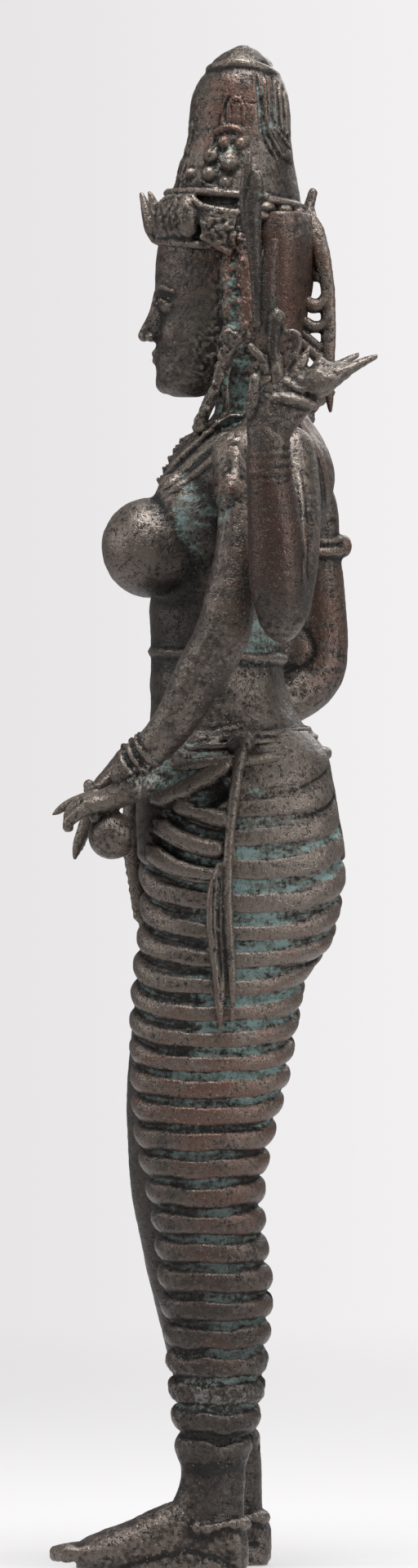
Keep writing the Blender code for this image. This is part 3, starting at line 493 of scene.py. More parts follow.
# The skirt: its rolls wrap the outer side of each leg and sag there
skirt = {
    "pitch": 13.9, "firstRoll": 283.6, "depth": 6, "sideDepth": 3.6, "hem": 56, "top": 396, "uneven": (150, 80),
    "closing": (236, 262), "band": (0.17, 0.27),
    "sagFront": [
        (20, 3), (120, 3.4), (208, 4), (240, 6.6), (260, 10), (277, 11.8), (304, 13.2), (318, 14), (332, 13),
        (346, 9.6), (362, 9), (410, 9),
    ],
    "sagBack": [
        (20, 2), (120, 3), (208, 4.4), (248, 7), (277, 8.4), (304, 8.4), (325, 10), (346, 11.6), (370, 13),
        (395, 17), (410, 17),
    ],
}


grooves = {}  # how deep in a groove each spot of the last leg is, for its stains


def rollShape(leg):
    # the surface of one leg's skirt: 1 is the plain oval, less is cut in
    def shape(height, angle, halfDepth):
        turn = np.degrees(np.arctan2(np.sin(angle) * leg["side"], np.cos(angle)))
        outward = np.clip(np.sin(np.radians(turn)), 0.0, 1.0)
        sagFront = rowsAt(skirt["sagFront"], height)[0]
        sagBack = rowsAt(skirt["sagBack"], height)[0]
        sag = sagFront - np.where(turn < 90.0, sagFront, sagBack) * (1.0 - outward)
        uneven = 0.8 + step(*skirt["uneven"], height)
        wobble = uneven * grain(np.stack([turn * 0.35, height * 0.0, height * 0.6], axis=1), 9.0, 11)
        phase = ((height + sag - skirt["firstRoll"] + wobble) / skirt["pitch"] + 0.5) % 1.0
        edge = np.minimum(phase, 1.0 - phase)
        roll = np.sqrt(np.clip(1.0 - (2.0 * phase - 1.0) ** 2, 0.0, 1.0))
        full = 0.05 * (1.0 - step(*skirt["closing"], height))
        band = step(skirt["band"][0] - full, skirt["band"][1] - full, edge)
        shelf = band * (0.7 + 0.3 * np.sqrt(np.clip(1.0 - ((edge - 0.5) / 0.34) ** 2, 0.0, 1.0)))
        shelf += 0.2 * np.sqrt(np.clip(1.0 - (edge / 0.2) ** 2, 0.0, 1.0)) * (1.0 - band)
        sideways = outward ** 3
        cut = skirt["depth"] * (1.0 - roll) * (1.0 - sideways)
        cut += skirt["sideDepth"] * (1.0 - shelf) * sideways
        shown = np.where(turn > -90.0, step(-leg["fade"][1], -leg["fade"][0], turn), 0.0)
        past = np.where(turn < 0.0, turn + 360.0, turn)
        shown = np.where((turn < -90.0) | (turn > 150.0), 1.0 - step(185.0, 215.0, past), shown)
        shown = shown * step(skirt["hem"] - 2.0, skirt["hem"] + 4.0, height)
        top = np.where(turn < 86.0, leg["frontTop"], skirt["top"])
        shown = shown * (1.0 - step(top - 12.0, top, height)) * (1.0 - 0.55 * step(330.0, 380.0, height))
        grooves["share"] = (1.0 - band) * shown
        grooves["behind"] = step(70.0, 90.0, turn)
        return 1.0 - cut / halfDepth * shown
    return shape


nearLeg = {
    "sides": 168, "ringGap": 1, "side": 1, "fade": (12, 40), "frontTop": 352, "rough": 0.12,
    "rows": [
        (410, -30, 46.6, 19, 19), (400, -34.6, 55, 26, 22), (386, -37, 59, 29, 24.5), (368, -37, 62, 31, 25.5),
        (350, -36.6, 65, 31.5, 26), (337, -35.8, 65, 31.5, 26), (322, -35.6, 62.4, 31, 26),
        (304, -38, 57, 30, 26.5), (292, -39.2, 48, 29.5, 27), (270, -40.5, 42.6, 28.5, 28),
        (240, -40.2, 37.6, 27, 28.5), (212, -38, 30.4, 25, 28.5), (186, -32.6, 26, 22.5, 28),
        (165, -28.8, 27, 21.5, 27), (140, -26.6, 29.8, 21, 26), (115, -24, 28.6, 19.5, 25),
        (90, -21.8, 26, 17.8, 24), (66, -19.2, 21.4, 15.5, 23.5), (56, -17.6, 18, 14, 23.5),
        (53, -16, 16.8, 12.6, 23.5), (42, -16.2, 16, 12, 23.5), (34, -19.5, 15.4, 12.4, 23.5),
        (20, -26, 16, 12.8, 23.5),
    ],
    # the thick rolls that cross the hip in front of the strap, and the hollows between them, in y and z
    "hipRolls": [
        ([(-29, 376), (-14, 381), (-2, 388), (10, 396)], 4.4, 3.6),
        ([(-19, 374), (-8, 371), (2, 367.6), (10, 366)], 4.2, 3.6),
        ([(-27, 365.6), (-19, 359), (-8, 354.4), (6, 351.6)], 4.6, 3.8),
        ([(-31, 353), (-22, 346), (-10, 340.6), (5, 338.4)], 4.4, 3.4),
        ([(-10, 376), (0, 378.4), (10, 383)], 6.4, -4.6),
        ([(-22, 369.6), (-12, 363.6), (0, 359.6), (8, 358.6)], 3, -2.4),
        ([(-30, 360), (-20, 352.6), (-8, 347.4), (6, 345)], 3, -2.2),
    ],
}
farLeg = {
    "sides": 136, "ringGap": 1.16, "side": -1, "fade": (-44, -18), "frontTop": 352, "rough": 0.12,
    "rows": [
        (410, -30, 48, 19, -19), (400, -35, 56, 26, -22), (386, -37, 59, 29, -24.5),
        (368, -35.5, 62, 31, -25.5), (350, -35.5, 64, 31, -26), (337, -35, 64, 31, -26),
        (322, -34.8, 61, 30.5, -26.5), (304, -35.6, 53, 29.5, -27.5), (280, -37.8, 43, 28.5, -29.5),
        (255, -40.4, 36, 27.5, -31.5), (234, -42, 30, 26, -33), (202, -41.4, 22, 23.5, -34.5),
        (182, -39.8, 18.5, 22, -35), (161, -35.6, 19.5, 21, -34.5), (141, -31.4, 22, 20.5, -34),
        (120, -26.1, 25, 19.5, -33.5), (96, -20.2, 25, 17.8, -33), (72, -12, 24, 15.4, -33),
        (56, -4.5, 23.8, 13.6, -33), (53, -1.5, 24, 12.4, -33), (42, -1, 24.4, 12, -33),
        (33, -4, 24.6, 12.2, -33), (20, -10, 25, 12.6, -33),
    ],
}


def grooveStainsAndShade(piece):
    # green lies broad and bright in the grooves behind the strap, and broken before it, where the grooves also
    # get painted shade
    spots = spotsOf(piece)
    share, behind = grooves["share"], grooves["behind"]
    high = step(215.0, 265.0, spots[:, 2])
    broken = np.clip(0.55 + 1.1 * grain(spots, 20.0, 9), 0.05, 1.3)  # the green comes in patches
    return {"teal": share * broken * (0.5 + 0.5 * behind) * (1.15 - 0.2 * high),
            "dark": share * (1.0 - behind * high) * 0.35}


def makeLegs():
    for name, leg in (("nearLeg", nearLeg), ("farLeg", farLeg)):
        addTrunk(leg["rows"], leg["sides"], leg["ringGap"], shape=rollShape(leg))
        piece = melt(name, voxel=0, rounds=0)
        drawLines(piece, nearLeg["hipRolls"], [leg["side"]])
        finishPiece(piece, leg["rough"], grooveStainsAndShade(piece))


feet = {
    "voxel": 1.04, "rough": 0.2, "nearHeel": 17.6, "nearMiddle": 24, "farHeel": 29, "farMiddle": -33,
    "farTurn": 0.22,
    # sections of the foot: place along y from the heel, bottom, top and half width
    "sections": [
        (0, 2.5, 17, 6), (-2.5, -1, 24, 10.5), (-9, -1, 34, 12.5), (-30, -1, 36.4, 13), (-38, -1, 34, 14),
        (-47, -1, 30.2, 14.8), (-57, -1, 25.4, 15.6), (-72, -1, 19.7, 16.6), (-79, -0.6, 16.6, 15.8),
        (-84, 1, 13.6, 13.4),
    ],
}


def addFoot(heel, middle, turnOut):
    def at(back):
        return middle - turnOut * (back - heel)

    addTrunk([(heel + back, low, high, half, at(heel + back)) for back, low, high, half in feet["sections"]],
             sides=40, level="Y")
    addTrunk([(-1, heel - 72, heel - 2, 12.5, at(heel - 36)), (1, heel - 76, heel - 1, 13.5, at(heel - 36)),
              (4, heel - 78, heel - 1, 14, at(heel - 36)), (9, heel - 74, heel - 2, 12.5, at(heel - 36))],
             sides=40)
    outward = 1 if middle > 0 else -1
    for toe in range(5):
        spread = (toe - 2) * 6.3
        length = 98.2 - 0.9 * toe - 0.45 * toe * toe
        thick = 4.2 - 0.35 * toe
        tip = heel - length
        addTube([(at(heel - 62) + outward * spread * 0.86, heel - 62, 11.8, thick + 1.4),
                 (at(heel - 82) + outward * spread, heel - 82, 9.8, thick + 0.2),
                 (at(heel - 90) + outward * spread, heel - 90, 8.6, thick + 0.2),
                 (at(tip) + outward * spread * 1.02, tip + thick, 7.8, thick - 0.1)], sides=4)
    for count in range(20):  # the worn anklet, a lumpy roll
        turn = radians(18 * count)
        size = 2.6 + 0.5 * sin(3 * turn) + 0.4 * cos(5 * turn)
        addBall((at(heel - 15) + 14.4 * sin(turn), heel - 15.8 - (14.4 - 8 * turnOut) * cos(turn),
                 22.6 - 1.4 * cos(turn) + 0.7 * sin(4 * turn)), (size * 1.3, size * 1.3, size), sides=14)


def makeFeet():
    addFoot(feet["nearHeel"], feet["nearMiddle"], 0)
    addFoot(feet["farHeel"], feet["farMiddle"], feet["farTurn"])
    piece = melt("feet", feet["voxel"])
    spots = spotsOf(piece)
    spots[:, 2] = np.maximum(spots[:, 2], 0)
    setSpots(piece, spots)
    finishPiece(piece, feet["rough"])


torso = {
    "voxel": 1.32, "rough": 0.14,
    "rows": [
        (380, -34, 52, 34), (400, -34, 54.2, 42), (413, -31, 44.8, 37), (430, -30.2, 36.5, 32),
        (452, -30.2, 36, 30.5), (472, -30.8, 45, 33.5), (490, -28, 48.6, 38.5), (507, -25, 53, 43),
        (522, -26, 58, 48), (536, -23, 60, 52), (548, -13.5, 56.6, 50), (558, -6, 51, 38), (566, 1, 45, 24),
        (574, 0.5, 36, 17), (588, -1, 35, 16.5), (606, -6, 36, 17),
    ],
    "breast": 24.1,
    "cords": ((-15.6, 552, 22), (-18.4, 547.2, 24.8), (-21, 542.5, 27.5), (-23.6, 537.4, 30.2), (-26, 532, 33)),
    "cordThickness": 1.2,
    # joins that are blended: a middle and a reach
    "blends": [((46, -14, 506), (16, 16, 26)), ((22, -10, 478), (30, 14, 8)), ((30, -8, 525), (26, 12, 8))],
    # fine strands that fall over the shoulders, and the hem lines over the hip, in y and z
    "strands": [
        ([(-6, 555.6), (-17, 549.4), (-24, 540.4), (-28, 530)], 1.8, 1.1),
        ([(2.4, 557), (-8, 549.4), (-18, 540), (-26, 529)], 1.8, 1.3),
        ([(8, 555.4), (-3.2, 547.2), (-14, 537.2), (-24, 528)], 1.8, 1.6),
        ([(13, 552), (1.6, 543.2), (-9.6, 533.8), (-20.6, 526.4)], 1.8, 1.4),
        ([(34, 566), (44, 552), (50, 536), (52, 518)], 1.3, 0.9),
        ([(38, 568), (49, 552), (55, 536), (57, 518)], 1.3, 0.9), ([(42, 570), (53, 554), (59, 538)], 1.3, 0.9),
        ([(-16, 401.6), (0, 408.6), (14, 412.4)], 1.1, 0.8), ([(-16, 397.6), (0, 404.4), (16, 409)], 1.1, 0.8),
        ([(16, 398), (34, 402), (50, 400)], 1.6, -0.8), ([(16, 388), (36, 393), (56, 392)], 1.6, -0.7),
    ],
}


def hipSpot(turn, height, out):
    angle = radians(turn)
    half = 40.5 + 0.62 * (412 - height)
    front = -32 - 0.3 * (412 - height)
    back = 46 + 0.7 * (412 - height)
    return ((half + out) * sin(angle), 0.5 * (front + back) - (0.5 * (back - front) + out) * cos(angle), height)


def makeTorso():
    addTrunk(torso["rows"], sides=64)
    size = torso["breast"]
    for side in (1, -1):
        addBall((side * 23.5, -30.2, 499.5), (size, size - 0.2, size + 0.1), sides=48)
        addBall((side * 25, -9, 513), (21, 17, 25), (32, 0, 0), sides=32)
        addBall((side * 53, 22, 543), (17, 21, 16), sides=32)
        addTube(mirrored(side, [(12, 30, 580, 9), (30, 26, 562, 10), (48, 22, 550, 12)]))
    addBall((0, -15, 432), (25, 15.7, 20), sides=32)
    addHoop((0, 2.8, 447), 31.6, 1.8, (0, 0.06, 1), (1, 1.04))
    for frontHeight, backHeight, out, thick in ((403, 411, 0.6, 1.5), (399, 407, 1, 1.6), (391, 399, 0, 3.6)):
        stations = []
        for count in range(36):
            share = 0.5 - 0.5 * cos(radians(10 * count))
            stations.append((*hipSpot(10 * count, frontHeight + (backHeight - frontHeight) * share, out),
                             thick))
        addTube(stations, closed=True)
    for front, low, wide in torso["cords"]:
        stations = []
        for count in range(24):
            turn = 2 * pi * count / 24
            forward = cos(turn)
            back = 37 + 0.3 * (552 - low)
            stations.append((wide * sin(turn), 0.5 * (front + back) + 0.5 * (front - back) * forward,
                             563 + (low - 563) * max(0, forward) ** 1.3 - 3 * min(0, forward),
                             torso["cordThickness"]))
        addTube(stations, closed=True)
    addBall((0, 6, 366), (26, 44, 26), sides=32)
    addTube([(0, -37, 388, 6), (0, -39.5, 360, 4.2), (0, -36.6, 333, 3.6), (0, -33, 316, 3.2),
             (0, -30, 290, 2.8), (0, -26, 250, 3.4)])
    for bead in range(9):
        addBall((0, -42.6 + 0.66 * bead, 353 - 4.2 * bead), (3.6, 1.9, 1.9), sides=12)
    piece = melt("torso", torso["voxel"], 2)
    soften(piece, torso["blends"], 40)
    drawLines(piece, torso["strands"])
    finishPiece(piece, torso["rough"])
    return piece


arms = {
    "voxel": 1.14, "rough": 0.1,
    "near": [
        (55, 12, 543, 13), (63, 13, 527, 10.9), (68, 13.4, 509, 11), (71.5, 12, 492, 11.6),
        (74.5, 8.2, 471, 12.8), (75, 4.6, 456, 13.5), (72.5, -3.6, 441, 12.9), (62, -21, 410.6, 10.2),
        (54, -36, 395, 8.4),
    ],
    "far": [
        (-55, 32, 545, 13), (-64, 49, 529, 10.2), (-70, 53, 500, 10.4), (-76, 54.8, 474, 11.4),
        (-80, 54.8, 452, 12.6), (-80, 52.6, 440, 13.2), (-76, 43, 429.6, 13.2), (-66, 22, 420.6, 12.2),
        (-54, -10, 410.8, 9.4), (-48, -27, 404.2, 7.8), (-44, -42, 395, 7),
    ],
    "blends": [((92, 36, 474), (16, 16, 12)), ((60, 12, 540), (12, 14, 10)), ((56, 40, 538), (14, 14, 14))],
    # edges and folds on the forearms, in y and z
    "lines": [
        ([(41.5, 535), (43.6, 520), (44.6, 500), (44, 480)], 1, 0.8),
        ([(24, 530), (30, 529), (36, 531)], 0.8, 0.7),
    ],
    # the rear arms, alike on both sides
    "rearUpper": [(50, 38, 545, 13), (63, 41, 522, 11.6), (78, 40, 494, 11.6), (93, 35.5, 470, 12.6)],
    "rearFore": [
        (96, 33.6, 466, 12.4), (101, 31.8, 480, 14.2), (103.5, 30.6, 500, 13.6), (105, 28.8, 520, 12.2),
        (106, 27, 540, 10.6), (106.5, 27.4, 552, 10),
    ],
}


def makeArms():
    for arm in (arms["near"], arms["far"]):
        addTube(arm, sides=8, smoothness=10)
    addBall((-78, 44, 450), (11, 12, 16), (-25, 0, 0), sides=32)
    addHoop((63.4, 13, 525.6), 10.8, 1.5, (0.2, 0, -1))
    addHoop((64.6, 13.2, 520.6), 10.6, 1.3, (0.2, 0, -1))
    addBall((73.6, 10, 527.4), (3, 4.6, 4.6))
    addHoop((75.6, 9.4, 527.4), 4.4, 1.1, (1, -0.1, 0))
    addBall((76.6, 9.2, 527.4), (2.4, 2.4, 2.4), sides=16)
    for turn in (20, 68, 112, 160, 200, 248, 292, 340):
        addBall((73.6, 9.4 + 6 * cos(radians(turn)), 527.4 + 6.2 * sin(radians(turn))), (2, 1.7, 1.7), sides=10)
    addTube([(71, 10.6, 533, 2.6), (70, 11.4, 540, 2), (67, 12, 547, 1)])
    for y, z in ((5.6, 519.4), (9.6, 517.6), (13.6, 519)):
        addBall((74.4, y, z), (1.9, 2, 2.2), sides=12)
    addHoop((-70, 53.4, 499.6), 11.2, 2, (-0.1, 0.04, -1))
    addHoop((-69.6, 53.2, 505), 10.9, 1.2, (-0.1, 0.04, -1))
    addBall((-72, 64.6, 501.8), (4.6, 4.8, 6))
    for ring in range(3):
        forward = -31 - 4 * ring
        addHoop((57 - 2 * ring, forward, 400.4 - 3.9 * ring), 9.4 - 0.3 * ring, 1, (-0.34, -0.72, -0.6))
        addHoop((-47.4 + 1.2 * ring, forward - 1, 402 - 2.6 * ring), 8.2 - 0.2 * ring, 1, (0.3, -0.8, -0.5))
    for side in (1, -1):
        addTube(mirrored(side, arms["rearUpper"]), sides=8, smoothness=10)
        addTube(mirrored(side, arms["rearFore"]), sides=8, smoothness=10)
        addBall((side * 95, 33.6, 461), (8, 9, 9), sides=24)
        for ring in range(4):
            addHoop((side * 105.8, 27.4, 534 + 4.4 * ring), 10.8 - 0.2 * ring, 0.7, (0.02 * side, -0.06, 1))
    piece = melt("arms", arms["voxel"], 2)
    soften(piece, arms["blends"], 30)
    drawLines(piece, arms["lines"])
    finishPiece(piece, arms["rough"])


hands = {
    "voxel": 0.78, "rough": 0.14, "ball": 11.8, "farBud": 0.82,
    # the near palm in sections along y, and each finger from the knuckle to the tip: x, then y, z and radius
    "palm": [
        (-34, 376, 396, 8.6, 54), (-41, 373.4, 390, 9, 51), (-48, 370.4, 384.6, 10.2, 48),
        (-54, 368.4, 381.2, 11, 46.4), (-59, 368.8, 379.6, 11, 46), (-63, 370.8, 378.4, 10, 46),
    ],
    "fingers": [
        (
            37.4,
            ((-57, 378, 3.6), (-64.3, 376, 3.1), (-70.7, 373.6, 2.6), (-75.2, 370.7, 1.9), (-77.6, 369, 0.9)),
        ),
        (42.4, ((-58, 376.6, 3.6), (-65, 374.6, 3.1), (-69.6, 369, 2.8), (-69.4, 362.6, 2))),
        (47.6, ((-57, 375.6, 3.7), (-64.6, 373, 3.2), (-69.4, 367.6, 2.8), (-70.4, 362.4, 2))),
        (
            53,
            ((-54, 374.6, 4.2), (-62, 371.6, 3.5), (-67.1, 368.1, 3.2), (-69.9, 365, 2.8), (-71.2, 362.8, 1.7)),
        ),
    ],
    # the raised hands: the palm, then thumb, raised finger with the goad, bent finger, and those round the bud
    "rearPalm": [
        (544, 17.4, 36.6, 9.4), (551, 16.6, 38, 9), (558, 16.4, 43, 8.4), (565, 17, 48.8, 7.6),
        (570, 18.6, 51.4, 6.6), (575, 23, 48, 5.6), (579, 29, 42, 4.2), (581.6, 33, 39, 2.4),
    ],
    "rearFingers": [
        (((2, 19.6, 562, 3.8), (2.4, 20, 572, 3.5), (2, 20.6, 579, 3)), 6),
        (((1, 31.6, 572, 3.6), (1.6, 31.2, 584, 3.1), (1, 31, 588.4, 2.7)), 6),
        (((0, 29.6, 586, 3), (0, 29.4, 596, 3.4), (0.6, 30.2, 604, 3.4)), 6),
        (((1, 18.4, 594.6, 1.7), (1.2, 20.8, 591.5, 2), (1, 23.6, 588.8, 2.2), (0.6, 25.6, 582.4, 2.4)), 5),
        (
            (
                (-1, 33.4, 601.6, 1.3), (-1, 40, 601, 1.5), (-1, 42.2, 597, 1.5), (-1, 39.3, 589.5, 1.5),
                (-1, 36.1, 582, 1.7),
            ),
            5,
        ),
        (((3.6, 30, 569, 3.8), (4.6, 37.4, 568.4, 3.8), (4.4, 44, 567.4, 3.5), (3.6, 49, 566, 2.6)), 6),
        (((-4, 36, 566, 4.2), (-5, 45, 565.6, 3.6), (-4, 49, 567.6, 2.4)), 6),
        (((1, 39, 578, 4), (0.6, 42.8, 586, 3.2), (0, 46.8, 594, 1)), 5),
        (((3.4, 36.4, 577, 2.4), (5, 42, 573.6, 2.2), (6, 46.6, 574.8, 1.8)), 5),
    ],
    # the lotus bud in sections along y; the last number says which of them are lifted on the far side
    "bud": [
        (40, 571, 581, 5.4, 0), (48, 569, 586, 7.4, 0), (50.6, 569, 589.4, 7.4, 0), (56, 571.6, 587.2, 8, 0),
        (61, 575.6, 586.8, 7.8, 1), (67, 580.8, 587.2, 6, 1), (74, 585.2, 589.8, 3.8, 1),
        (80.2, 588.8, 591.4, 1.2, 1),
    ],
    # a side petal, which ends in a point before the long tip; the last number is how far out it lies
    "petal": [
        (44, 572, 580, 2.4, 4), (50, 571.4, 583.4, 3, 7), (56, 573.4, 582, 2.4, 7.6),
        (58.8, 575.8, 580.8, 1.5, 7.8), (61.4, 578.2, 580, 0.8, 7.8),
    ],
    # the goad is a stem and a blade: z, front, back and half width
    "goadStem": [
        (600, 23, 29, 3), (612, 22.4, 31.4, 3.6), (628, 22.6, 31.8, 3.6), (640, 24.6, 32, 3.2),
        (646.6, 28, 32, 2.2),
    ],
    "goadBlade": [
        (604, 19.6, 24, 2.8), (630, 18, 24, 3.2), (650, 15.8, 23.6, 3.4), (664, 15.2, 24, 3.4),
        (673, 17, 25, 3.2), (679.4, 19.6, 23.2, 2),
    ],
}


def addFrontHands():
    addTube([(54, -36, 395, 8.4), (51, -42, 389, 7.6)])
    addTrunk(hands["palm"], sides=36, level="Y", ringGap=1.2)
    addBall((46, -48.6, 359.2), [hands["ball"]] * 3, sides=48)
    for x, path in hands["fingers"]:
        addTube([(x, *spot) for spot in path], sides=6, smoothness=8)
    addTube([(40, -46, 380, 4), (34, -52, 372, 3.4), (35, -57, 363, 2.6)])
    addCrumbs((51, -58, 367.6), (3, 4.6, 2), 14, 1.5, 21)
    addTube([(-44, -42, 395, 7), (-40, -48.4, 388, 6.2), (-36, -53.4, 382.6, 5.6)], sides=6)
    addBall((-35.5, -54, 381), (9.6, 8.4, 5.6), (42, 0, 0))
    addBall((-31, -60.6, 383), (3.2, 3, 3.2))
    for count in range(4):
        x = -28.6 - 4.6 * count
        addTube([(x, -57, 380, 3.4), (x, -60.4, 370, 3.6), (x + 0.2, -63 + 0.3 * count, 362, 3.4),
                 (x + 0.4, -65.6 + 0.5 * count, 355.4 + 0.8 * count, 3),
                 (x + 0.6, -67 + count, 350.6 + 1.6 * count, 2.1),
                 (x + 0.8, -67.6 + 1.4 * count, 347.6 + 2.2 * count, 1.1)], sides=6, smoothness=8)
    addTube([(-28, -50, 387, 3.6), (-24, -56, 382, 3), (-25, -60.8, 381, 2.6)])


def addRearHand(side):
    x = side * 107
    addTrunk([(*row, x) for row in hands["rearPalm"]], sides=44, ringGap=1.2)
    for path, sides in hands["rearFingers"]:
        addTube([(x + side * out, y, z, size) for out, y, z, size in path], sides=sides, smoothness=8)
    addBall((x + side * 0.6, 31, 607.4), (3.6, 4.4, 5.2), sides=24)
    stretch = 1 if side > 0 else hands["farBud"]
    lift = 4 - 4 * side
    addTrunk([(42 + (reach - 42) * stretch, low + rise * lift, high + rise * lift, wide, x)
              for reach, low, high, wide, rise in hands["bud"]], sides=28, level="Y", ringGap=1.2)
    for out in (1, -1):
        addTrunk([(*row, x + out * apart) for *row, apart in hands["petal"]], sides=20, level="Y", ringGap=1)


def addGoad(side):
    x = side * 105.5
    addTrunk([(*row, x) for row in hands["goadStem"]], sides=28)
    addTrunk([(*row, x) for row in hands["goadBlade"]], sides=28)
    addTube([(x, 21, 667, 3), (x, 25.6, 666.4, 2.2)])
    addTube([(x - side, 16.6, 652, 2.6), (x - side, 15.8, 670, 2.9), (x - side, 16.8, 680, 2.6),
             (x - side, 17.6, 688.6, 1.6)])


def makeHands():
    addFrontHands()
    for side in (1, -1):
        addRearHand(side)
        addGoad(side)
    finishPiece(melt("hands", hands["voxel"], 1), hands["rough"])


head = {
    "voxel": 0.79, "rough": 0.05,
    # jaw, cheeks and brow by the usual thirds: height, front, back and half width
    "skull": [
        (573.6, -19, -6, 9), (575.6, -23.4, 2, 14), (579, -26, 10, 18.4), (584, -27.2, 18, 21.8),
        (590, -27.6, 27, 24.6), (600, -27.4, 38, 27.4), (612, -26.4, 46, 29.2), (618, -26.2, 47.4, 29.8),
        (625, -27.8, 49, 30.2), (640, -27.6, 50, 30.4), (655, -24.6, 50, 30), (664, -20, 48, 29),
    ],
    "hair": [
        (584, 30, 44.6, 12), (594, 25, 45.2, 18), (604, 20, 45.8, 23), (614, 17, 46.8, 28),
        (626, 16, 48.2, 31.8), (642, 16, 49.8, 34), (656, 16, 49.8, 34), (663, 19, 48.6, 33),
    ],
    "browHeight": 625, "eyeHeight": 617.6, "noseHeight": 602, "mouthHeight": 593.6,
    "ear": [
        (642, 6.4, 10.8, 1.8, 30.4), (634, 4.9, 11.4, 3, 30.6), (620, 4.8, 11.4, 3.4, 30.8),
        (611, 5.2, 11, 3.2, 30.4), (606, 6.2, 10, 2.4, 30),
    ],
    # the encrusted strand that hangs from the crown behind the ear, and the pendant under it
    "strand": [
        (32, 14, 650, 3), (33.4, 15.6, 640, 3.4), (33.8, 16.6, 626, 3.8), (33.4, 17, 613, 4),
        (33, 14, 604, 3.8), (33, 10, 600, 4),
    ],
    "pendant": [
        (32.6, 8, 602.4, 4.8), (32.4, 7, 594.8, 3.6), (31.6, 4.4, 586.9, 3), (30.8, 2, 578, 2.8),
        (29.6, -1.4, 571, 2.9), (28.2, -4.4, 563.8, 3.2), (27.2, -6.2, 557.4, 3.6),
    ],
    "blends": [
        ((0, -29, 613), (7, 7, 8)), ((16, -15, 604), (13, 12, 15)), ((6, -25, 583), (12, 8, 6)),
        ((0, -26, 632), (26, 12, 5)),
    ],
}


def makeHead():
    brow, eye = head["browHeight"], head["eyeHeight"]
    nose, mouth = head["noseHeight"], head["mouthHeight"]
    addTrunk(head["skull"], sides=96, ringGap=1.2)
    addTrunk(head["hair"], sides=80, ringGap=1.5)
    addTube([(0, -26.6, brow - 1, 2.2), (0, -28.6, brow - 9, 2.6), (0, -31.8, nose + 5.6, 3),
             (0, -33.4, nose + 1.6, 3.2)], sides=6)
    addTube([(-7.6, -26.4, mouth + 0.4, 0.9), (-3.2, -27.8, mouth + 1.5, 1.5), (0, -28.2, mouth + 1.1, 1.6),
             (3.2, -27.8, mouth + 1.5, 1.5), (7.6, -26.4, mouth + 0.4, 0.9)], sides=6)
    addTube([(-6.4, -26.4, mouth - 1.2, 0.9), (0, -27.6, mouth - 2.4, 2), (6.4, -26.4, mouth - 1.2, 0.9)],
            sides=6)
    addBall((0, -22.6, 580.8), (8, 5.6, 6))
    addBall((0, -26.6, nose + 4), (4.4, 5.4, 6))
    addBall((0, -25.4, mouth + 0.6), (9, 3.2, 5.4))
    for side in (1, -1):
        addBall((side * 3.3, -30, nose + 0.8), (2.6, 3, 2.3), sides=16)
        addBall((side * 12, -14, nose + 2), (9.6, 11, 12), sides=32)
        addBall((side * 3, -25.4, nose + 7), (3.6, 4.4, 9), sides=24)
        addBall((side * 11.4, -21.2, eye), (6.8, 4.6, 3.6), (0, 0, side * 20))
        addTube(mirrored(side, [(4.6, -25.4, eye - 0.2, 0.6), (10.6, -26, eye + 3, 0.9),
                                (18.4, -20.8, eye + 0.4, 0.6)]))
        addTube(mirrored(side, [(3.2, -26.8, brow - 0.4, 0.9), (10.8, -26.2, brow + 2.6, 1.2),
                                (20.4, -19.8, brow - 0.6, 0.8)]))
        addTrunk([(z, front, back, thick, side * out) for z, front, back, thick, out in head["ear"]], sides=24)
        addTube(mirrored(side, head["strand"]))
        addTube(mirrored(side, head["pendant"]))
        for count in range(5):
            addCrumbs((side * 35, 16, 646 - 9 * count), (3, 4.4, 5), 11, 2.4, 40 + count)
        addTube(mirrored(side, [(30.4, 12.4, 646, 3), (31, 12.8, 626, 3.2), (30.8, 12, 608, 3)]))
        addCrumbs((side * 34.6, 9.6, 602), (3, 5, 4.4), 12, 1.9, 51)
        for count, (x, y, z, _) in enumerate(head["pendant"][1:]):
            addCrumbs((side * (x + 1), y, z), (2.2, 2.4, 4.2), 6, 1.5, 60 + count)
    addBall((33.6, 16.7, 602.8), (2.6, 2.6, 2.4))
    addTube([(30, 8.4, 590, 1.7), (28.6, 6.4, 578, 1.8), (27, 6.6, 566, 2), (27, 2.4, 560, 2.4)])
    piece = melt("head", head["voxel"], 2)
    soften(piece, head["blends"], 26)
    finishPiece(piece, head["rough"])


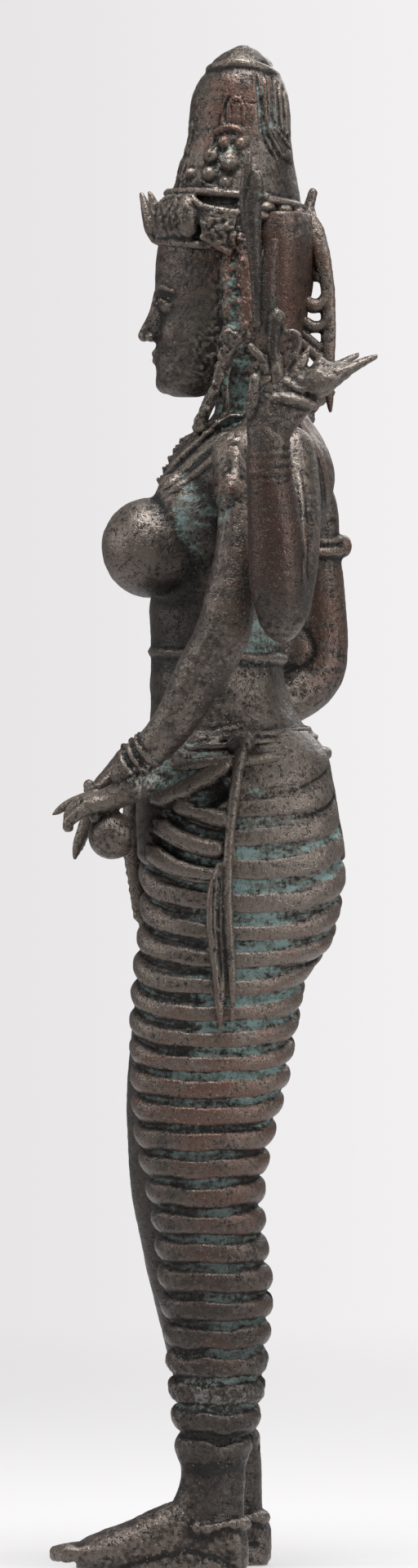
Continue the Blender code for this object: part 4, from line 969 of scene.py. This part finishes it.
crown = {
    "voxel": 0.82, "rough": 0.12,
    "rows": [
        (650, -26, 46, 32), (668, -21.2, 43.6, 30.4), (676, -19, 42.2, 28.6), (688, -15.6, 40, 26.3),
        (699, -12.3, 38.6, 24.6), (712, -11.2, 38.2, 23.8), (722, -9.4, 36.8, 22.8), (730, -5.4, 33.8, 20.4),
        (735, 0, 30, 16.6),
    ],
    # drawn on the side of the crown in y and z: a path, a half width and how far it stands out or is cut in
    "lines": [
        ([(26.9, 729.3), (27.5, 714.6), (28.7, 704.6), (32.2, 697.9), (36.4, 691.5), (38.2, 688.6)], 2.9, 1.2),
        ([(25.2, 729.3), (25.5, 714.6), (26.6, 704.6), (29.8, 697.6), (34, 690.5)], 0.7, 1.9),
        ([(30, 729.3), (30.2, 716), (31, 705), (34.6, 698.6), (38.8, 693.4)], 0.7, 1.7),
        ([(21.9, 730.5), (23.1, 714.6), (23.9, 703), (27.2, 695), (31.6, 688.4)], 0.9, -1.3),
        ([(31.4, 727.3), (32, 714.6), (33, 703.6)], 0.8, -1.5),
        ([(32.8, 727), (33.4, 714.6), (34.4, 702.6)], 0.7, 0.9),
        ([(34.2, 726), (35, 713), (35.8, 701.6)], 0.8, -1.5),
        ([(35.6, 724), (36.6, 712), (37, 700.6)], 0.7, 0.8),
        ([(8.2, 706), (8.2, 715), (11.6, 718.8), (15, 715), (15, 706)], 1, 1.2),
        ([(11.6, 717), (11.6, 706)], 3.2, 0.8), ([(6.4, 706), (6, 714), (8.6, 720)], 0.9, -0.9),
        ([(0.8, 701), (4, 703.4), (8, 704.4), (11.9, 703.6), (15.6, 701.2)], 1.6, 1.9),
        ([(-2.4, 688), (1, 697), (4.4, 712)], 1, -0.9), ([(17, 716), (23, 716.4)], 0.7, -0.8),
        ([(-5.6, 679), (-1, 675.6), (3.2, 674.6)], 1, 1), ([(-16, 690), (-12, 698), (-9.6, 708)], 1.2, 0.9),
    ],
    # the round studs of the side cluster: y, z and radius
    "studs": [
        (8.3, 687.8, 4.7), (5.6, 697.3, 3.1), (14.3, 696.6, 3.2), (-0.4, 690.8, 3.9), (-1.6, 681.8, 3.6),
        (6, 677.4, 2.8), (-10.4, 682.2, 2.8),
    ],
    # leaves of the diadem as flat blades: height, front, back, half width and middle
    "midLeaf": [
        (649, -29.8, -20, 6, 0), (653.6, -32.6, -24, 6.8, 0), (660, -34.2, -27.6, 6.2, 0),
        (666, -35, -29.8, 4.4, 0), (670, -35.4, -31.6, 2.8, 0), (674, -35.9, -33.8, 1, 0),
    ],
    "sideLeaf": [
        (650, -25.4, -17, 4.6, 13), (656, -28.4, -20.4, 5, 13.6), (662, -30.2, -23.2, 4.6, 14),
        (667, -31, -25.8, 3.2, 14.2), (673.4, -31.8, -29.8, 1, 14.4),
    ],
    "templePlate": [
        (643.6, 5.6, 9, 1.6, 33), (648.9, -4, 9.6, 2.6, 33.2), (655, -6, 11, 2.8, 33.4),
        (660, -7.4, 12.4, 2.6, 33.2), (664, -8.6, 12.6, 2.2, 32.8), (666.4, -9.2, -2.6, 2, 32.4),
        (669, -9.8, -6.8, 1.6, 32), (671.6, -10.8, -9.8, 0.7, 31.6),
    ],
}


def crownSpot(height, turn, out=0):
    front, back, half = rowsAt(crown["rows"], height)[:, 0]
    angle = radians(turn)
    return ((half + out) * sin(angle), 0.5 * (front + back) - (0.5 * (back - front) + out) * cos(angle))


def onCrown(side, y, z, out=0):
    # the spot of the crown's side that lies behind a point drawn in y and z
    front, back, half = rowsAt(crown["rows"], z)[:, 0]
    share = min(0.98, max(-0.98, (y - 0.5 * (front + back)) / (0.5 * (back - front))))
    return (side * ((half + out) * sqrt(1 - share * share)), y, z)


def addLeaf(rows, side):
    addTrunk([(z, front, back, half, side * middle) for z, front, back, half, middle in rows], sides=28,
             ringGap=1)


def makeCrown():
    addTrunk(crown["rows"], sides=96, ringGap=1.5)
    addTube([(15.8 * sin(turn), 15.2 - 15.5 * cos(turn), 732.1 + 1.6 * cos(turn) + 3.6 * sin(turn) ** 2,
              2.9) for turn in (2 * pi * count / 24 for count in range(24))], closed=True, sides=6)
    addTrunk([(732, 0.6, 29.6, 14, 0), (737.4, -0.2, 29.4, 12.8, 0), (741.4, 4.4, 25.2, 9, 0),
              (744.2, 9.8, 21.2, 5, 0), (746, 14, 17.6, 1.4, 0)], sides=12, ringGap=1.2)
    for side in (1, -1):
        for y, z, size in crown["studs"]:
            addBall(onCrown(side, y, z, 0.4), (size, size, size), sides=24)
        addLeaf(crown["sideLeaf"], side)
        addLeaf(crown["templePlate"], side)
        addTube(mirrored(side, [(32.8, -5, 650.6, 1.6), (33.8, 0, 647.6, 1.9), (34, 8, 642.6, 2)]))
        for count in range(4):  # crust on the temple and on the block before it
            addCrumbs((side * 35.2, -3 + 4.4 * count, 657 - 1.2 * count), (1.4, 4, 5), 7, 1.2, 71 + count)
            addCrumbs((side * (19 + 3.4 * count), -23 + 3.6 * count, 660), (3.6, 2.6, 6), 4, 1.6, 81 + count)
            addBall((side * (17.6 + 3.6 * count), -21.2 + 3.2 * count, 661), (6.4, 6.4, 11), sides=24)
        addCrumbs((side * 34.6, 10, 650), (1.6, 3, 5), 10, 1.9, 91)
    addLeaf(crown["midLeaf"], 1)
    rim, brim, rearBrim = [], [], []
    for count in range(40):
        turn = 9 * count
        rear = 0.5 - 0.5 * cos(radians(turn))
        rim.append((*crownSpot(668, turn, 0.2 + 0.6 * rear), 673.4 - 0.6 * rear - 7 * rear * rear, 2.2))
        if abs(turn - 180) > 84:
            brim.append((*crownSpot(650, turn, 0.9), 650 - 4 * sin(radians(turn)) ** 2, 2.1))
        else:
            x, y = crownSpot(660, turn, 1.4)
            rearBrim.append((x, y, 662.6 - 4.6 * (rear * 2 - 1), 1.9))
            if count % 2:
                addBall((x * 0.98, y * 0.98, 667 - 4 * (rear * 2 - 1)), (3.6, 4.4, 2.4), sides=14)
    first = next(index for index, spot in enumerate(brim) if spot[0] < 0)  # the far end, where it starts
    addTube(rim, closed=True)
    addTube(brim[first:] + brim[:first])
    addTube(rearBrim)
    piece = melt("crown", crown["voxel"], 1)
    drawLines(piece, crown["lines"])
    finishPiece(piece, crown["rough"])


backOrnament = {
    "voxel": 0.82, "rough": 0.12, "wide": 9,
    "strap": [
        (664, 43, 49.8), (658, 45, 53.8), (648, 48, 56.9), (638, 50.4, 58.6), (628, 52.8, 59.9),
        (615, 53.2, 60.4), (600, 53.2, 60.4), (590, 53.4, 60), (580, 54.2, 59.8), (573, 55.4, 59.4),
        (566, 57.2, 58.8),
    ],
    "drop": [
        (670, 46, 49, 2.6), (662, 45, 51.4, 5.4), (652, 45.4, 53.4, 8), (642, 46, 54.4, 8.4),
        (634, 47, 54, 6.4), (630, 48.8, 53, 3),
    ],
    "loops": [
        [(46, 619.8, 3.2), (50, 618, 3.4), (54, 620, 3), (56.8, 625.6, 2.6)],
        [(44.8, 610.4, 2.7), (50, 607.8, 2.8), (54.8, 609.2, 2.7), (57, 613.6, 2.6)],
        [(44, 604.8, 1.8), (48.4, 601.2, 2), (52.8, 596.8, 2)],
        [(44, 600, 2.2), (48.4, 596, 2.6), (52.8, 592, 3), (57, 588, 3)],
    ],
}


def makeBackOrnament():
    addTube([(0, 45, 660, 3.4), (0, 47.4, 667, 2.8), (0, 49.3, 673.6, 2.3)])
    addTrunk(backOrnament["drop"], sides=32)
    for side in (1, 0, -1):
        x = side * backOrnament["wide"]
        addTrunk([(z, front, back, 2.4 - 1.4 * (z < 570), x * min(1, (676 - z) / 26)) for z, front,
                  back in backOrnament["strap"]], sides=24)
        for loop in backOrnament["loops"]:
            addTube([(x, *spot) for spot in loop], sides=6)
    finishPiece(melt("backOrnament", backOrnament["voxel"], 1), backOrnament["rough"])


sash = {
    "voxel": 0.86, "rough": 0.1, "out": 59, "knot": (47.5, 14, 404),
    "strap": [
        (50, 14.6, 403, 3.4), (55, 12.4, 390, 3), (58.4, 9.6, 370, 2.6), (59.6, 7.8, 348, 2.5),
        (60.4, 7.6, 330, 2.5), (60.8, 8.8, 304, 2.2), (60, 9.8, 286, 1.9), (58.6, 9.4, 270, 1.2),
    ],
    "flap": [
        (346, 2, 7.6, 2.4), (336, -1, 8, 3), (326, -3, 8, 3.2), (316, -3, 7.6, 3.2), (304, -1.4, 7, 2.8),
        (290, 0.6, 6.6, 2.2), (276, 2, 5.8, 1.8), (263, 3, 4.4, 1),
    ],
    "flapFolds": [
        ([(-0.4, 338), (-1.4, 318), (1.6, 290), (3, 270)], 1.3, 1.1),
        ([(3.4, 340), (2.6, 316), (4.4, 290)], 1.1, -1),
    ],
}


def makeSashes():
    for side in (1, -1):
        x, y, z = sash["knot"]
        addBall((side * x, y, z), (6, 7, 6.4))
        addTube(mirrored(side, sash["strap"]), sides=5)
        addTrunk([(z, front, back, thick, side * sash["out"]) for z, front, back, thick in sash["flap"]],
                 sides=36, ringGap=1.5)
    piece = melt("sideSashes", sash["voxel"], 1)
    drawLines(piece, sash["flapFolds"])
    finishPiece(piece, sash["rough"])


class Wire:
    # a node's socket that can stand in a plain sum
    def __init__(self, sheet, socket):
        self.sheet, self.socket = sheet, socket

    def sum(self, operation, first, second):
        return self.sheet.node("ShaderNodeMath", {"operation": operation}, {0: first, 1: second})

    def __add__(self, other):
        return self.sum("ADD", self, other)

    def __radd__(self, other):
        return self.sum("ADD", other, self)

    def __sub__(self, other):
        return self.sum("SUBTRACT", self, other)

    def __rsub__(self, other):
        return self.sum("SUBTRACT", other, self)

    def __mul__(self, other):
        return self.sum("MULTIPLY", self, other)

    def __rmul__(self, other):
        return self.sum("MULTIPLY", other, self)

    def between(self, low, high):
        return self.sheet.node("ShaderNodeMapRange", {"interpolation_type": "SMOOTHSTEP"},
                               {"Value": self, "From Min": low, "From Max": high})


class NodeSheet:
    # one material's nodes
    def __init__(self, name):
        self.look = bpy.data.materials.new(name)
        self.look.use_nodes = True
        self.tree = self.look.node_tree
        self.tree.nodes.clear()

    def node(self, kind, settings, sockets, output=0):
        made = self.tree.nodes.new(kind)
        for key, value in settings.items():
            setattr(made, key, value)
        for key, value in sockets.items():
            if isinstance(value, Wire):
                self.tree.links.new(value.socket, made.inputs[key])
            else:
                made.inputs[key].default_value = value
        return Wire(self, made.outputs[output]) if len(made.outputs) else None

    def noise(self, place, scale, detail=4.0, roughness=0.6):
        return self.node("ShaderNodeTexNoise", {},
                         {"Vector": place, "Scale": scale, "Detail": detail, "Roughness": roughness})

    def blend(self, share, first, second):
        return self.node("ShaderNodeMix", {"data_type": "RGBA"}, {0: share, 6: first, 7: second}, 2)


bronzeColours = {
    "dark": (0.017, 0.0145, 0.0125, 1.0), "brown": (0.062, 0.049, 0.041, 1.0),
    "rubbedAndPaintedLight": (0.150, 0.124, 0.106, 1.0),
    "worn": (0.108, 0.053, 0.037, 1.0), "olive": (0.088, 0.076, 0.052, 1.0), "teal": (0.118, 0.160, 0.142, 1.0),
    "sootAndPaintedShade": (0.0095, 0.0085, 0.0075, 1.0), "cyan": (0.180, 0.275, 0.270, 1.0),
    "cream": (0.330, 0.262, 0.190, 1.0),
    "chalk": (0.420, 0.450, 0.425, 1.0),
}


def bronzeLook():
    sheet = NodeSheet("agedBronze")
    place = sheet.node("ShaderNodeTexCoord", {}, {}, 3)
    streak = sheet.node("ShaderNodeMapping", {}, {"Vector": place, "Scale": (1.0, 1.0, 2.4)})
    reliefAndPaintedShade = sheet.node("ShaderNodeAttribute", {"attribute_name": "reliefAndPaintedShade"}, {})
    split = sheet.node("ShaderNodeSeparateColor", {}, {0: reliefAndPaintedShade})
    dip, hollow, shade = (Wire(sheet, split.socket.node.outputs[index]) for index in range(3))
    dip = dip - 0.5
    # darkness and lightness read the painted shade and painted light of the dark marks
    darkness = shade.between(plainShade, 1.0)
    lightness = shade.between(plainShade, 0.0)
    marks = sheet.node("ShaderNodeAttribute", {"attribute_name": "marks"}, {})
    warmth = Wire(sheet, marks.socket.node.outputs[3])
    stains = sheet.node("ShaderNodeSeparateColor", {}, {0: marks})
    teal, cream, pale = (Wire(sheet, stains.socket.node.outputs[index]) for index in range(3))
    # noises from coarse to fine, centred on 0
    cloud = sheet.noise(place, 24.0, 3.0) - 0.5
    patch = sheet.noise(streak, 95.0, 5.0) - 0.5
    fleck = sheet.noise(place, 460.0, 3.0, 0.7) - 0.5
    dust = sheet.noise(place, 1300.0, 2.0) - 0.5
    ridge = 1.0 - hollow - dip * 0.8
    mottle = patch * 1.5 + fleck * 1.9
    green = (hollow * 0.75 + dip * 0.4 + teal * 0.86 + cloud * 1.2 + patch * 1.7
             + fleck * 1.3 - darkness * 0.2).between(0.86, 1.42)
    crust = (cream * 0.7 + patch * 1.8 + fleck * 1.8).between(0.55, 0.95)
    speck = sheet.node("ShaderNodeTexVoronoi", {}, {"Vector": place, "Scale": 430.0})
    pits = (fleck + dust * 0.9 + patch * 0.5).between(-0.10, -0.26)
    coats = (  # from the bottom up: a colour and how much of it shows
        # brown covers the ridges; the near-black base that shows through most in the hollows is painted shade
        # there
        ("brown", (ridge * 1.3 + mottle - 0.1).between(0.05, 0.85)),
        # rubbed colour on worn ridges, kept off the painted shade
        ("rubbedAndPaintedLight", (ridge * 1.6 + mottle * 0.8 + cloud * 1.1 - darkness * 0.4).between(0.84, 1.42) * 0.85),
        # painted light: the rubbed colour laid where the dark channel lightens
        ("rubbedAndPaintedLight", lightness * (ridge * 0.9 + mottle * 0.4).between(0.1, 0.7) * 0.75),
        ("worn", (warmth * 0.9 + cloud * 1.6 + patch * 1.2 + ridge * 0.3).between(0.35, 1.0) * 0.85),
        ("olive", (cloud * -1.5 + patch + fleck).between(0.05, 0.4) * 0.4),
        # painted shade: near-black in the hollows, deepened by the painted shade channel and lifted by the
        # painted light
        ("sootAndPaintedShade", (hollow * 1.9 + dip * 1.8 + mottle * 0.5 + darkness * 0.3
                  - lightness * 0.6).between(0.95, 1.5) * 0.88),
        ("teal", green * 0.82),
        ("cyan", (green * 0.6 + patch * 1.6 + fleck * 1.4 + teal * 0.2).between(0.66, 1.05) * 0.7),
        ("cream", crust * 0.75),
        ("chalk", (pale * 0.8 + patch * 1.2 + fleck * 2.0).between(0.55, 0.95) * 0.75),
        ("cream", speck.between(0.26, 0.12) * (dust + cloud + pale * 0.35).between(0.0, 0.12) * 0.7),
        # dark pits in the bronze
        ("sootAndPaintedShade", pits * (0.8 - lightness * 0.4)),
        # painted shade from the dark channel
        ("dark", darkness * 0.55),
    )
    colour = bronzeColours["dark"]
    for name, share in coats:
        colour = sheet.blend(share, colour, bronzeColours[name])
    height = fleck * 0.9 + patch * 0.6 + dust * 0.4 - pits * 0.7 + crust * 0.8
    bump = sheet.node("ShaderNodeBump", {}, {"Strength": 0.8, "Distance": 0.0007, "Height": height})
    rough = 0.36 + green * 0.28 + fleck * 0.5 + (hollow - 0.5) * 0.3 + crust * 0.2
    metal = 0.50 - green * 0.35 - crust * 0.2
    shader = sheet.node("ShaderNodeBsdfPrincipled", {}, {
        "Base Color": colour, "Roughness": rough, "Metallic": metal, "Normal": bump, "Specular IOR Level": 0.5})
    sheet.node("ShaderNodeOutputMaterial", {}, {"Surface": shader})
    return sheet.look


studio = {
    "floor": (0.30, 0.297, 0.30, 1.0), "floorGlow": 0.48, "floorReach": 3.0,
    "backLeft": (0.79, 0.775, 0.785, 1.0),
    "backRight": (0.90, 0.885, 0.893, 1.0), "roomGlow": 0.22,
    # name, place, what it points at, size and strength
    "lights": [
        ("topLight", (0.5, 0.1, 2.5), (0.0, 0.0, 0.45), 1.1, 84.0),
        ("backLight", (1.7, 2.3, 1.2), (0.0, 0.0, 0.40), 1.2, 40.0),
        ("frontLight", (0.3, -2.6, 1.3), (0.0, 0.0, 0.45), 0.9, 22.0),
        ("farLight", (-1.8, 0.6, 1.6), (0.0, 0.0, 0.45), 1.2, 16.0),
    ],
}


def makeStudio():
    clearSelection()
    bpy.ops.mesh.primitive_circle_add(vertices=96, radius=studio["floorReach"], fill_type="NGON",
                                      location=(0.0, 0.0, -0.0003))
    floor = bpy.context.object
    bpy.ops.object.transform_apply(location=True, rotation=True, scale=True)
    floor.name = "floor"
    sheet = NodeSheet("palePaper")
    place = sheet.node("ShaderNodeTexCoord", {}, {}, 3)
    radius = sheet.node("ShaderNodeVectorMath", {"operation": "LENGTH"}, {0: place}, 1)
    paper = sheet.node("ShaderNodeBsdfPrincipled", {}, {
        "Base Color": studio["floor"], "Roughness": 0.9,
        "Alpha": radius.between(studio["floorReach"] * 0.95, 0.4),
        "Emission Color": studio["backRight"], "Emission Strength": studio["floorGlow"]})
    sheet.node("ShaderNodeOutputMaterial", {}, {"Surface": paper})
    floor.data.materials.append(sheet.look)
    world = bpy.data.worlds.new("paleRoom")
    world.use_nodes = True
    room = NodeSheet.__new__(NodeSheet)
    room.tree = world.node_tree
    room.tree.nodes.clear()
    toward = room.node("ShaderNodeSeparateXYZ", {}, {0: room.node("ShaderNodeTexCoord", {}, {}, 0)}, 1)
    wall = room.blend(toward.between(-0.03, 0.03), studio["backLeft"], studio["backRight"])
    seen = room.node("ShaderNodeBackground", {}, {"Color": wall, "Strength": 1.0})
    glow = room.node("ShaderNodeBackground", {}, {"Color": studio["backRight"], "Strength": studio["roomGlow"]})
    direct = room.node("ShaderNodeLightPath", {}, {}, 0)
    mixed = room.node("ShaderNodeMixShader", {}, {0: direct, 1: glow, 2: seen})
    room.node("ShaderNodeOutputWorld", {}, {"Surface": mixed})
    scene.world = world
    for name, place, aim, size, power in studio["lights"]:
        bpy.ops.object.light_add(type="AREA", location=place)
        light = bpy.context.object
        light.name = name
        light.data.size = size
        light.data.energy = power
        light.rotation_euler = (Vector(aim) - Vector(place)).to_track_quat("-Z", "Y").to_euler()
    scene.view_settings.view_transform = "Standard"
    print("studio set")


makeStudio()
makeLegs()
makeFeet()
body = makeTorso()
makeArms()
makeHands()
makeHead()
makeCrown()
makeBackOrnament()
makeSashes()

bronze = bronzeLook()
for piece in pieces:
    piece.data.materials.clear()
    piece.data.materials.append(bronze)
    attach(piece, "root")
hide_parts("parvati_statue")
